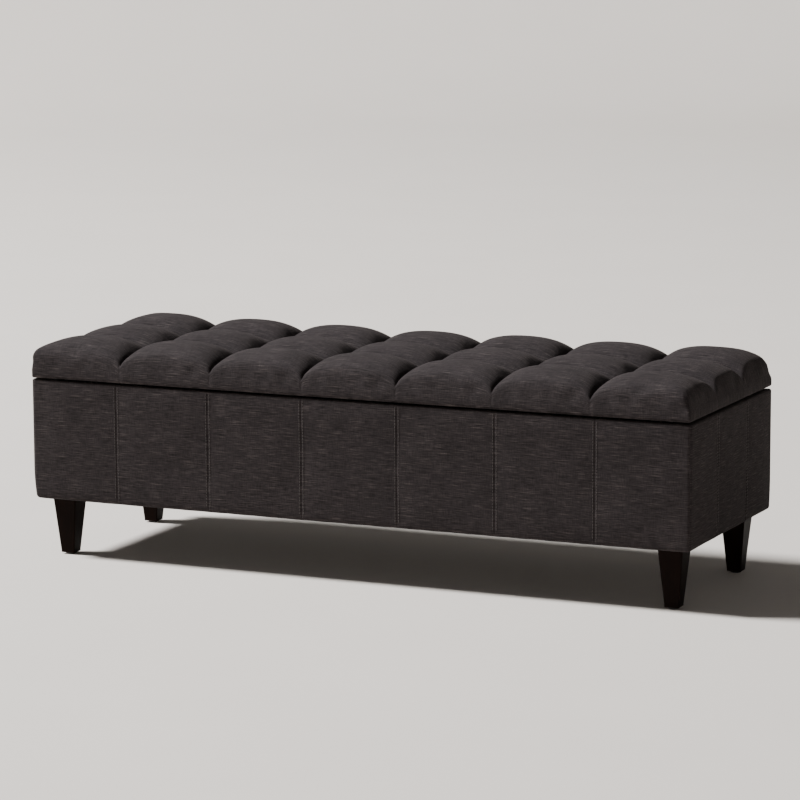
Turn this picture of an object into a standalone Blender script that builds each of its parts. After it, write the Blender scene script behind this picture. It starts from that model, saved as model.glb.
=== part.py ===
"""Upholstered storage bench: a covered box on four tapered legs, with a tufted lid hinged along its back.

Run it with: blender --background --python part.py

Metres, +Z up. X runs along the bench and -Y is its front. The origin is on the floor, under the middle of
the whole bench, hinge knuckles included. The lid is closed.
"""

import math

import bmesh
import bpy
from mathutils import Matrix, Vector

# Driving dimensions
BODY_LENGTH = 1.278  # covered box, over its fabric
BODY_DEPTH = 0.428
BODY_HEIGHT = 0.221  # from the turned-under hem to the rim
UNDERSIDE = 0.110  # floor to the hem
LID_OVERHANG = 0.003  # the lid stands proud of the box by this on every side
LID_GAP = 0.005  # rim to the lid's lining
TUFTS_LONG = 7
TUFTS_DEEP = 3

# Sheets and boards
GAP = 0.0003  # left between pieces that touch
FABRIC = 0.0012
WADDING = 0.005
PANEL = 0.015
LINING = 0.0008
BOTTOM_BOARD = 0.009
LID_BOARD = 0.012
DUST_COVER = 0.0006
HEM = 0.025  # fabric turned under the box and under the lid
TURN_IN = 0.020  # fabric turned down inside the rim
LINING_DROP = 0.008  # the lining's top edge below the rim
DUST_INSET = 0.008
LID_LINING_INSET = 0.012

# Tufted pad, heights above the lid board's top
PAD_CREST = 0.0605
PAD_SEAM = 0.042  # middle of a seam
PAD_CROSSING = 0.017  # where two seams cross
PAD_EDGE = 0.016  # foot of the rounded edge, where a seam meets it
PAD_SHOULDER = 0.033  # foot of the rounded edge, beside the middle of a tuft
PAD_ROUND = 0.030  # width of the rounded edge in plan
TUFT_POWER = 2.2
TUFT_STEPS = 4  # mesh steps across one tuft

# Frame under the bottom board
BEARER_HEIGHT = 0.024
END_BEARER = 0.080
CENTRE_BEARER = 0.060
BATTEN = 0.020

# Legs and what holds them
LEG_TOP = 0.0465
LEG_FOOT = 0.0260
LEG_ROUND = 0.003
LEG_INSET_X = 0.0435  # leg's middle from the end of the box
LEG_INSET_Y = 0.0510  # leg's middle from the front or back of the box
BOLT_RADIUS = 0.004
BOLT_IN_LEG = 0.030
BOLT_CLEAR = 0.0003
TNUT_FLANGE_RADIUS = 0.011
TNUT_FLANGE = 0.0015
TNUT_WALL = 0.0007
TNUT_BARREL = 0.011
GLIDE_RADIUS = 0.0100
GLIDE_HEIGHT = 0.003
NAIL_RADIUS = 0.0012
NAIL_LENGTH = 0.012

# Butt hinges
HINGE_PLACES = (-0.450, 0.0, 0.450)
HINGE_NAMES = ("left", "centre", "right")
HINGE_LENGTH = 0.060
LEAF_WIDTH = 0.020
LEAF = 0.0012
KNUCKLE_RADIUS = 0.003
KNUCKLES = 5
HINGE_PIN_RADIUS = 0.0012
PIN_STICKS_OUT = 0.001
HINGE_STANDOFF = 0.0005  # knuckle to the lid's back edge

# Slotted lid stays
STAY_RADIUS = 0.095  # hinge line to the stud, and to the arm's pivot
STAY_REST_ANGLE = 16.0  # degrees between those two, seen from the hinge line, with the lid closed
LID_OPENS = 95.0  # degrees
PIVOT_DROP = 0.010  # arm's pivot below the lid's lining
ARM_WIDTH = 0.014
STAY_STEEL = 0.002
ARM_CLEAR = 0.0005
SLOT_CLEAR = 0.0004
STUD_RADIUS = 0.0025
STUD_HEAD_RADIUS = 0.005
STUD_HEAD = 0.0013
BASE_SIDE = 0.036
BRACKET_LENGTH = 0.030
BRACKET_FLANGE = 0.018
BRACKET_BELOW = 0.008
RIVET_RADIUS = 0.0023
RIVET_HEAD_RADIUS = 0.004
RIVET_HEAD = 0.0012

# Rubber bumpers
BUMPER_RADIUS = 0.005
BUMPER_FROM_END = 0.040

# Worked out from the sizes above
RIM = UNDERSIDE + BODY_HEIGHT
LID_UNDERSIDE = RIM + LID_GAP
HINGE_OFFSET = LID_OVERHANG + HINGE_STANDOFF + KNUCKLE_RADIUS  # box's back face to the hinge line
BODY_Y = -(HINGE_STANDOFF + 2 * KNUCKLE_RADIUS) / 2  # the hinges stand out at the back, so the box sits forward
HINGE_Y = BODY_Y + BODY_DEPTH / 2 + HINGE_OFFSET
HINGE_Z = RIM + LID_GAP / 2

WADDING_IN = FABRIC + GAP  # depths below the fabric's outer face
PANEL_IN = WADDING_IN + WADDING + GAP
PANEL_BACK = PANEL_IN + PANEL
TURNED_IN = PANEL_BACK + GAP  # the fabric turned down inside
LINING_IN = TURNED_IN + FABRIC + GAP
INSIDE = LINING_IN + LINING  # the lining's inner face

PANEL_Z0 = UNDERSIDE + FABRIC + GAP
PANEL_Z1 = RIM - FABRIC - GAP
BEARER_TOP = PANEL_Z0 + BEARER_HEIGHT
TNUT_BARREL_RADIUS = BOLT_RADIUS + BOLT_CLEAR + TNUT_WALL
BOARD_Z0 = BEARER_TOP + GAP
BOARD_Z1 = BOARD_Z0 + BOTTOM_BOARD
DUST_TOP = UNDERSIDE - GAP
LEG_Z1 = DUST_TOP - DUST_COVER - GAP
LEG_Z0 = GLIDE_HEIGHT + GAP
LEG_X = BODY_LENGTH / 2 - LEG_INSET_X
LEG_Y = BODY_DEPTH / 2 - LEG_INSET_Y

LID_LENGTH = BODY_LENGTH + 2 * LID_OVERHANG
LID_DEPTH = BODY_DEPTH + 2 * LID_OVERHANG
LID_HEM_Z = LID_UNDERSIDE + LINING + GAP
LID_BOARD_Z0 = LID_HEM_Z + FABRIC + GAP
LID_BOARD_Z1 = LID_BOARD_Z0 + LID_BOARD
FOAM_Z0 = LID_BOARD_Z1 + GAP

FABRIC_LOOK = ((0.045, 0.040, 0.041), 0.95, 0.0)
BLACK_CLOTH = ((0.010, 0.010, 0.011), 0.95, 0.0)
WADDING_LOOK = ((0.75, 0.73, 0.68), 0.95, 0.0)
FOAM_LOOK = ((0.80, 0.74, 0.55), 0.90, 0.0)
BOARD_LOOK = ((0.52, 0.38, 0.24), 0.75, 0.0)
LEG_LOOK = ((0.020, 0.011, 0.008), 0.35, 0.0)
STEEL_LOOK = ((0.55, 0.55, 0.56), 0.35, 1.0)
BLACK_STEEL = ((0.012, 0.012, 0.012), 0.40, 1.0)
RUBBER_LOOK = ((0.015, 0.015, 0.015), 0.80, 0.0)
PLASTIC_LOOK = ((0.020, 0.020, 0.021), 0.55, 0.0)


def new_collection(name):
    collection = bpy.data.collections.new(name)
    bpy.context.scene.collection.children.link(collection)
    return collection


def material(name, look):
    found = bpy.data.materials.get(name)
    if found:
        return found
    colour, roughness, metallic = look
    made = bpy.data.materials.new(name)
    made.use_nodes = True
    shader = made.node_tree.nodes["Principled BSDF"]
    shader.inputs["Base Color"].default_value = (*colour, 1.0)
    shader.inputs["Roughness"].default_value = roughness
    shader.inputs["Metallic"].default_value = metallic
    return made


def place(name, data, look, parent=None, at=(0, 0, 0)):
    """A part's object from its mesh or curve data, with its origin at a point in the world."""
    obj = bpy.data.objects.new(name, data)
    PARTS.objects.link(obj)
    slot, values = look
    data.materials.append(material(slot, values))
    obj.matrix_world = Matrix.Translation(at)
    if parent:
        obj.parent = parent
        obj.matrix_parent_inverse = parent.matrix_world.inverted()
    return obj


def mesh_of(bm, name):
    data = bpy.data.meshes.new(name)
    bm.normal_update()
    bm.to_mesh(data)
    bm.free()
    data.shade_smooth()
    data.set_sharp_from_angle(angle=math.radians(35))
    return data


def box_mesh(low, high, name, bevel=0.0):
    """A box between two corners, with its edges rounded if asked."""
    low, high = Vector(low), Vector(high)
    bm = bmesh.new()
    size = Matrix.Diagonal((*(high - low), 1.0))
    bmesh.ops.create_cube(bm, size=1.0, matrix=Matrix.Translation((low + high) / 2) @ size)
    if bevel:
        bmesh.ops.bevel(bm, geom=bm.edges[:], offset=bevel, segments=2, profile=0.5, affect="EDGES")
    return mesh_of(bm, name)


def cylinder_mesh(radius, start, end, name, segments=20):
    """A cylinder from one point to another."""
    start, end = Vector(start), Vector(end)
    along = end - start
    turn = Vector((0, 0, 1)).rotation_difference(along).to_matrix().to_4x4()
    bm = bmesh.new()
    bmesh.ops.create_cone(
        bm,
        cap_ends=True,
        segments=segments,
        radius1=radius,
        radius2=radius,
        depth=along.length,
        matrix=Matrix.Translation((start + end) / 2) @ turn,
    )
    return mesh_of(bm, name)


def helper(name, data, parent=None):
    """A cutter or joiner for a Boolean, which isn't a part itself."""
    obj = bpy.data.objects.new(name, data)
    CUTTERS.objects.link(obj)
    obj.hide_render = True
    obj.display_type = "WIRE"
    if parent:
        obj.parent = parent
    return obj


def boolean(obj, other, operation):
    modifier = obj.modifiers.new(operation.lower(), "BOOLEAN")
    modifier.operation = operation
    modifier.object = other
    modifier.solver = "EXACT"


def drill(obj, radius, start, end, segments=20):
    """Cuts a round hole through obj between two points given in obj's own space."""
    boolean(
        obj, helper(f"{obj.name}_drill", cylinder_mesh(radius, start, end, "drill", segments), obj), "DIFFERENCE"
    )


def join(obj, data):
    """Adds a shape, given in obj's own space, to obj."""
    boolean(obj, helper(f"{obj.name}_join", data, obj), "UNION")


def turned(name, profile, look, at, parent=None, steps=20):
    """A turned solid from its (radius, height) profile, which runs from the top down its outer side."""
    bm = bmesh.new()
    points = [bm.verts.new((radius, 0, height)) for radius, height in profile]
    for a, b in zip(points, points[1:]):
        bm.edges.new((a, b))
    obj = place(name, mesh_of(bm, name), look, parent, at)
    screw = obj.modifiers.new("turn", "SCREW")
    screw.axis = "Z"
    screw.steps = steps
    screw.render_steps = steps
    screw.use_merge_vertices = True
    screw.merge_threshold = 0.00001
    return obj


FABRIC_SLOT = ("charcoal_fabric", FABRIC_LOOK)
LINING_SLOT = ("black_cloth", BLACK_CLOTH)
WADDING_SLOT = ("wadding", WADDING_LOOK)
FOAM_SLOT = ("foam", FOAM_LOOK)
BOARD_SLOT = ("plywood", BOARD_LOOK)
LEG_SLOT = ("dark_wood", LEG_LOOK)
STEEL_SLOT = ("zinc_steel", STEEL_LOOK)
STAY_SLOT = ("black_steel", BLACK_STEEL)
RUBBER_SLOT = ("rubber", RUBBER_LOOK)
PLASTIC_SLOT = ("black_plastic", PLASTIC_LOOK)


# Box: panels, wadding, cover and lining


def box_half(depth_in):
    """Half the length and half the depth of the box, this far in from the fabric's outer face."""
    return BODY_LENGTH / 2 - depth_in, BODY_DEPTH / 2 - depth_in


def four_walls(suffix, outer, thickness, z0, z1, look):
    """Front and back walls over the full length, and end walls that fit between them."""
    half_x, half_y = box_half(outer)
    inner_x, inner_y = box_half(outer + thickness)
    between = inner_y - GAP
    walls = {
        "front": ((-half_x, -half_y), (half_x, -inner_y)),
        "back": ((-half_x, inner_y), (half_x, half_y)),
        "left": ((-half_x, -between), (-inner_x, between)),
        "right": ((inner_x, -between), (half_x, between)),
    }
    for side, (low, high) in walls.items():
        name = f"{side}_{suffix}"
        place(name, box_mesh((*low, z0), (*high, z1), name), look, at=(0, BODY_Y, 0))


def cover_panel(side):
    """One side's fabric: turned in over the rim, down the wall and turned under, with its ends mitred."""
    turned_to = RIM - FABRIC - TURN_IN
    section = (
        (TURNED_IN + FABRIC, turned_to),
        (TURNED_IN + FABRIC, RIM),
        (0, RIM),
        (0, UNDERSIDE),
        (HEM, UNDERSIDE),
        (HEM, UNDERSIDE + FABRIC),
        (FABRIC, UNDERSIDE + FABRIC),
        (FABRIC, RIM - FABRIC),
        (TURNED_IN, RIM - FABRIC),
        (TURNED_IN, turned_to),
    )
    along_x = side in ("front", "back")
    length, depth = (BODY_LENGTH, BODY_DEPTH) if along_x else (BODY_DEPTH, BODY_LENGTH)
    bm = bmesh.new()
    outline = [bm.verts.new((0, depth_in - depth / 2, z)) for depth_in, z in section]
    made = bmesh.ops.extrude_face_region(bm, geom=[bm.faces.new(outline)])["geom"]
    far_end = {item for item in made if isinstance(item, bmesh.types.BMVert)}
    for vert in bm.verts:
        half = length / 2 - (vert.co.y + depth / 2) - GAP
        vert.co.x = half if vert in far_end else -half
    bmesh.ops.recalc_face_normals(bm, faces=bm.faces[:])
    quarter_turns = ("front", "right", "back", "left").index(side)
    bm.transform(Matrix.Rotation(quarter_turns * math.pi / 2, 4, "Z"))
    name = f"{side}_cover"
    place(name, mesh_of(bm, name), FABRIC_SLOT, at=(0, BODY_Y, 0))


def storage_lining():
    """Open-topped box of black cloth inside the panels."""
    half_x, half_y = box_half(LINING_IN)
    name = "storage_lining"
    data = box_mesh((-half_x, -half_y, BOARD_Z1 + GAP), (half_x, half_y, RIM - LINING_DROP), name)
    bm = bmesh.new()
    bm.from_mesh(data)
    top = [face for face in bm.faces if face.normal.z > 0.5]
    bmesh.ops.delete(bm, geom=top, context="FACES")
    bm.to_mesh(data)
    bm.free()
    obj = place(name, data, LINING_SLOT, at=(0, BODY_Y, 0))
    sheet = obj.modifiers.new("thickness", "SOLIDIFY")
    sheet.thickness = LINING
    sheet.offset = -1.0
    sheet.use_even_offset = True


def leg_places():
    for end, x in (("left", -LEG_X), ("right", LEG_X)):
        for side, y in (("front", BODY_Y - LEG_Y), ("back", BODY_Y + LEG_Y)):
            yield f"{side}_{end}", x, y


def bottom_frame():
    """Bottom board, and the bearers and battens under it. The end bearers are bored for the T-nuts."""
    half_x, half_y = box_half(PANEL_BACK + GAP)
    at = (0, BODY_Y, 0)
    board = box_mesh((-half_x, -half_y, BOARD_Z0), (half_x, half_y, BOARD_Z1), "bottom_board")
    place("bottom_board", board, BOARD_SLOT, at=at)
    bearer_x = half_x - END_BEARER
    for end, low, high in (("left", -half_x, -bearer_x), ("right", bearer_x, half_x)):
        name = f"{end}_bearer"
        data = box_mesh((low, -half_y, PANEL_Z0), (high, half_y, BEARER_TOP), name)
        bearer = place(name, data, BOARD_SLOT, at=at)
        for place_name, x, y in leg_places():
            if end in place_name:
                y -= BODY_Y
                hole = TNUT_BARREL_RADIUS + GAP
                drill(bearer, hole, (x, y, PANEL_Z0 - 0.01), (x, y, BEARER_TOP + 0.01))
                pocket = BEARER_TOP - GAP - TNUT_FLANGE - GAP
                drill(bearer, TNUT_FLANGE_RADIUS + GAP, (x, y, pocket), (x, y, BEARER_TOP + 0.01))
    batten_x = bearer_x - GAP
    for side, low, high in (("front", -half_y, BATTEN - half_y), ("back", half_y - BATTEN, half_y)):
        name = f"{side}_batten"
        data = box_mesh((-batten_x, low, PANEL_Z0), (batten_x, high, BEARER_TOP), name)
        place(name, data, BOARD_SLOT, at=at)
    between = half_y - BATTEN - GAP
    low = (-CENTRE_BEARER / 2, -between, PANEL_Z0)
    high = (CENTRE_BEARER / 2, between, BEARER_TOP)
    place("centre_bearer", box_mesh(low, high, "centre_bearer"), BOARD_SLOT, at=at)


def dust_cover():
    half_x, half_y = box_half(DUST_INSET)
    low, high = (-half_x, -half_y, DUST_TOP - DUST_COVER), (half_x, half_y, DUST_TOP)
    cloth = place("dust_cover", box_mesh(low, high, "dust_cover"), LINING_SLOT, at=(0, BODY_Y, 0))
    for _, x, y in leg_places():
        hole = BOLT_RADIUS + BOLT_CLEAR
        drill(cloth, hole, (x, y - BODY_Y, DUST_TOP - 0.01), (x, y - BODY_Y, DUST_TOP + 0.01))


def build_box():
    four_walls("panel", PANEL_IN, PANEL, PANEL_Z0, PANEL_Z1, BOARD_SLOT)
    four_walls("wadding", WADDING_IN, WADDING, PANEL_Z0, PANEL_Z1, WADDING_SLOT)
    for side in ("front", "back", "left", "right"):
        cover_panel(side)
    storage_lining()
    bottom_frame()
    dust_cover()


# Legs


def leg(name, x, y):
    """Square leg tapering evenly to its foot, bored for the hanger bolt and for the glide's nail."""
    bm = bmesh.new()
    bmesh.ops.create_cube(bm, size=1.0)
    for vert in bm.verts:
        side = LEG_TOP if vert.co.z > 0 else LEG_FOOT
        vert.co = Vector((vert.co.x * side, vert.co.y * side, LEG_Z1 if vert.co.z > 0 else LEG_Z0))
    corners = [edge for edge in bm.edges if abs(edge.verts[0].co.z - edge.verts[1].co.z) > LEG_Z0]
    bmesh.ops.bevel(bm, geom=corners, offset=LEG_ROUND, segments=3, profile=0.5, affect="EDGES")
    obj = place(f"{name}_leg", mesh_of(bm, name), LEG_SLOT, at=(x, y, 0))
    drill(obj, BOLT_RADIUS + BOLT_CLEAR, (0, 0, LEG_Z1 - BOLT_IN_LEG - GAP), (0, 0, LEG_Z1 + 0.01))
    drill(obj, NAIL_RADIUS + GAP, (0, 0, LEG_Z0 - 0.01), (0, 0, LEG_Z0 + NAIL_LENGTH))


def leg_fixings(name, x, y):
    """Hanger bolt from the leg up into the T-nut, and the glide nailed under the leg."""
    flange_top = BEARER_TOP - GAP
    bolt = cylinder_mesh(BOLT_RADIUS, (0, 0, LEG_Z1 - BOLT_IN_LEG), (0, 0, flange_top), f"{name}_bolt", 16)
    place(f"{name}_hanger_bolt", bolt, STEEL_SLOT, at=(x, y, 0))
    bore = BOLT_RADIUS + BOLT_CLEAR
    flange_low = flange_top - TNUT_FLANGE
    tnut = (
        (bore, flange_top),
        (TNUT_FLANGE_RADIUS, flange_top),
        (TNUT_FLANGE_RADIUS, flange_low),
        (TNUT_BARREL_RADIUS, flange_low),
        (TNUT_BARREL_RADIUS, flange_low - TNUT_BARREL),
        (bore, flange_low - TNUT_BARREL),
        (bore, flange_top),
    )
    turned(f"{name}_tnut", tnut, STEEL_SLOT, (x, y, 0))
    chamfer = GLIDE_HEIGHT / 3
    glide = (
        (0, GLIDE_HEIGHT + NAIL_LENGTH - chamfer),
        (NAIL_RADIUS, GLIDE_HEIGHT + NAIL_LENGTH - 2 * chamfer),
        (NAIL_RADIUS, GLIDE_HEIGHT),
        (GLIDE_RADIUS, GLIDE_HEIGHT),
        (GLIDE_RADIUS, chamfer),
        (GLIDE_RADIUS - chamfer, 0),
        (0, 0),
    )
    turned(f"{name}_glide", glide, PLASTIC_SLOT, (x, y, 0))


def build_legs():
    for name, x, y in leg_places():
        leg(name, x, y)
        leg_fixings(name, x, y)


# Lid


def tuft_share(place_along, half, count):
    """How far a point is up its tuft along one axis: 0 on a seam and 1 in the middle. The outer side of
    an end tuft has no seam, so it stays at 1."""
    pitch = 2 * half / count
    index = min(count - 1, int((place_along + half) / pitch))
    middle = -half + (index + 0.5) * pitch
    across = (place_along - middle) / (pitch / 2)
    at_end = (index == 0 and across < 0) or (index == count - 1 and across > 0)
    return 1.0 if at_end else 1.0 - abs(across) ** TUFT_POWER


def pad_height(x, y, half_x, half_y):
    """Height of the tufted pad's fabric above the lid board."""
    along = tuft_share(x, half_x, TUFTS_LONG)
    across = tuft_share(y, half_y, TUFTS_DEEP)
    height = PAD_CROSSING + (PAD_SEAM - PAD_CROSSING) * (along + across)
    height += (PAD_CREST - 2 * PAD_SEAM + PAD_CROSSING) * along * across
    for edge, beside in ((half_x - abs(x), across), (half_y - abs(y), along)):
        share = min(1.0, max(0.0, edge / PAD_ROUND))
        foot = PAD_EDGE + (PAD_SHOULDER - PAD_EDGE) * beside
        height = foot + (height - foot) * math.sqrt(1 - (1 - share) ** 2)
    return height


def grid_lines(half, count):
    """Mesh lines across the lid: on every seam, evenly over each tuft, and closer over the rounded edge."""
    pitch = 2 * half / count
    lines = [-half + pitch * step / TUFT_STEPS for step in range(count * TUFT_STEPS + 1)]
    near_edge = [half - PAD_ROUND * share for share in (0.12, 0.4)]
    return sorted(lines + near_edge + [-line for line in near_edge])


def pad_surface():
    """The pad's outer surface: tufted top, sides down to the hem, and the hem turned under the board."""
    half_x, half_y = LID_LENGTH / 2, LID_DEPTH / 2
    lines_x, lines_y = grid_lines(half_x, TUFTS_LONG), grid_lines(half_y, TUFTS_DEEP)
    cells_x, cells_y = len(lines_x) - 1, len(lines_y) - 1
    bm = bmesh.new()
    bmesh.ops.create_grid(bm, x_segments=cells_x, y_segments=cells_y, size=1.0)
    for vert in bm.verts:
        x = lines_x[round((vert.co.x + 1) / 2 * cells_x)]
        y = lines_y[round((vert.co.y + 1) / 2 * cells_y)]
        vert.co = Vector((x, y, LID_BOARD_Z1 + pad_height(x, y, half_x, half_y)))
    for z, inset in ((FOAM_Z0, 0.0), (LID_HEM_Z, 0.0), (LID_HEM_Z, HEM)):
        rim = [edge for edge in bm.edges if edge.is_boundary]
        made = bmesh.ops.extrude_edge_only(bm, edges=rim)["geom"]
        for vert in (item for item in made if isinstance(item, bmesh.types.BMVert)):
            vert.co.z = z
            vert.co.x -= math.copysign(inset, vert.co.x) if abs(vert.co.x) > half_x - HEM else 0.0
            vert.co.y -= math.copysign(inset, vert.co.y) if abs(vert.co.y) > half_y - HEM else 0.0
    bmesh.ops.recalc_face_normals(bm, faces=bm.faces[:])
    bm.normal_update()
    return bm


def lid_cover(lid):
    obj = place("lid_cover", mesh_of(pad_surface(), "lid_cover"), FABRIC_SLOT, lid, (0, BODY_Y, 0))
    sheet = obj.modifiers.new("thickness", "SOLIDIFY")
    sheet.thickness = FABRIC
    sheet.offset = -1.0
    sheet.use_even_offset = False


def lid_foam(lid):
    """The foam has the cover's shape, set in by the fabric, and stops at the lid board."""
    bm = pad_surface()
    inward = {vert: vert.normal * (FABRIC + GAP) for vert in bm.verts}
    for vert, step in inward.items():
        vert.co -= step
    below = [vert for vert in bm.verts if vert.co.z < FOAM_Z0 - GAP]
    bmesh.ops.delete(bm, geom=below, context="VERTS")
    rim = [edge for edge in bm.edges if edge.is_boundary]
    bmesh.ops.edgeloop_fill(bm, edges=rim)
    bmesh.ops.recalc_face_normals(bm, faces=bm.faces[:])
    place("lid_foam", mesh_of(bm, "lid_foam"), FOAM_SLOT, lid, (0, BODY_Y, 0))


def build_lid(lid):
    inset = FABRIC + GAP
    half_x, half_y = LID_LENGTH / 2 - inset, LID_DEPTH / 2 - inset
    at = (0, BODY_Y, 0)
    board = box_mesh((-half_x, -half_y, LID_BOARD_Z0), (half_x, half_y, LID_BOARD_Z1), "lid_board")
    place("lid_board", board, BOARD_SLOT, lid, at)
    half_x, half_y = LID_LENGTH / 2 - LID_LINING_INSET, LID_DEPTH / 2 - LID_LINING_INSET
    low, high = (-half_x, -half_y, LID_UNDERSIDE), (half_x, half_y, LID_UNDERSIDE + LINING)
    place("lid_lining", box_mesh(low, high, "lid_lining"), LINING_SLOT, lid, at)
    lid_cover(lid)
    lid_foam(lid)
    top, bottom = LID_UNDERSIDE - GAP, RIM + GAP
    dome = (
        (0, top),
        (BUMPER_RADIUS, top),
        (BUMPER_RADIUS, (top + bottom) / 2),
        (BUMPER_RADIUS * 0.6, bottom),
        (0, bottom),
    )
    bumper_y = BODY_Y - BODY_DEPTH / 2 + INSIDE - BUMPER_RADIUS
    for end, side in (("left", -1), ("right", 1)):
        x = side * (BODY_LENGTH / 2 - BUMPER_FROM_END)
        turned(f"{end}_bumper", dome, RUBBER_SLOT, (x, bumper_y, 0), lid, 16)


# Hinges


def leaf(name, middle, knuckles, z0, z1, parent):
    """A leaf with its knuckles around the hinge line. Knuckle 0 is at the leaf's left end."""
    place_at = (middle, HINGE_Y, HINGE_Z)
    plate_back = -KNUCKLE_RADIUS - GAP
    low = (-HINGE_LENGTH / 2, plate_back - LEAF_WIDTH, z0 - HINGE_Z)
    high = (HINGE_LENGTH / 2, plate_back, z1 - HINGE_Z)
    obj = place(name, box_mesh(low, high, name), STEEL_SLOT, parent, place_at)
    pitch = HINGE_LENGTH / KNUCKLES
    for index in knuckles:
        start = -HINGE_LENGTH / 2 + index * pitch + GAP / 2
        end = start + pitch - GAP
        barrel = cylinder_mesh(KNUCKLE_RADIUS, (start, 0, 0), (end, 0, 0), "barrel", 12)
        tongue_low = (start, plate_back - LEAF_WIDTH / 4, low[2])
        tongue = box_mesh(tongue_low, (end, 0, high[2]), "tongue")
        join(obj, barrel)
        join(obj, tongue)
    reach = HINGE_LENGTH / 2 + 0.01
    drill(obj, HINGE_PIN_RADIUS + GAP, (-reach, 0, 0), (reach, 0, 0), 12)


def build_hinges(lid):
    pin_half = HINGE_LENGTH / 2 + PIN_STICKS_OUT
    for label, middle in zip(HINGE_NAMES, HINGE_PLACES):
        lower = RIM + GAP
        upper = LID_UNDERSIDE - GAP
        leaf(f"{label}_hinge_lower_leaf", middle, range(0, KNUCKLES, 2), lower, lower + LEAF, None)
        leaf(f"{label}_hinge_upper_leaf", middle, range(1, KNUCKLES, 2), upper - LEAF, upper, lid)
        name = f"{label}_hinge_pin"
        pin = cylinder_mesh(HINGE_PIN_RADIUS, (-pin_half, 0, 0), (pin_half, 0, 0), name, 16)
        place(name, pin, STEEL_SLOT, at=(middle, HINGE_Y, HINGE_Z))


# Slotted lid stays. The stud on the box and the arm's pivot on the lid are the same distance from the
# hinge line, so the arm turns by half the lid's angle and its slot slides over the stud.


def stay_places():
    """The arm's pivot and the stud as (y, z), and the stud's distance from the pivot, closed and open."""
    drop = HINGE_Z - (LID_UNDERSIDE - PIVOT_DROP)
    pivot_angle = math.asin(drop / STAY_RADIUS)
    stud_angle = pivot_angle + math.radians(STAY_REST_ANGLE)
    pivot, stud = (
        (HINGE_Y - STAY_RADIUS * math.cos(angle), HINGE_Z - STAY_RADIUS * math.sin(angle))
        for angle in (pivot_angle, stud_angle)
    )
    closed, opened = (
        2 * STAY_RADIUS * math.sin(math.radians(angle) / 2)
        for angle in (STAY_REST_ANGLE, STAY_REST_ANGLE + LID_OPENS)
    )
    return pivot, stud, closed, opened


def round_bar(start, end, radius, steps=8):
    """Outline of a bar with half-round ends, along local X, anticlockwise."""
    turns = [math.pi * step / steps for step in range(steps + 1)]
    far = [(end + radius * math.sin(turn), -radius * math.cos(turn)) for turn in turns]
    near = [(start - radius * math.sin(turn), radius * math.cos(turn)) for turn in turns]
    return far + near


def flat_plate(name, outlines, thickness, look, matrix, parent=None):
    """A flat piece cut from sheet. The first outline is its edge and the rest are holes."""
    curve = bpy.data.curves.new(name, "CURVE")
    curve.dimensions = "2D"
    curve.fill_mode = "BOTH"
    curve.extrude = thickness / 2
    for outline in outlines:
        spline = curve.splines.new("POLY")
        spline.points.add(len(outline) - 1)
        for point, (x, y) in zip(spline.points, outline):
            point.co = (x, y, 0, 1)
        spline.use_cyclic_u = True
    obj = place(name, curve, look)
    obj.matrix_world = matrix
    if parent:
        obj.parent = parent
        obj.matrix_parent_inverse = parent.matrix_world.inverted()
    return obj


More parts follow.
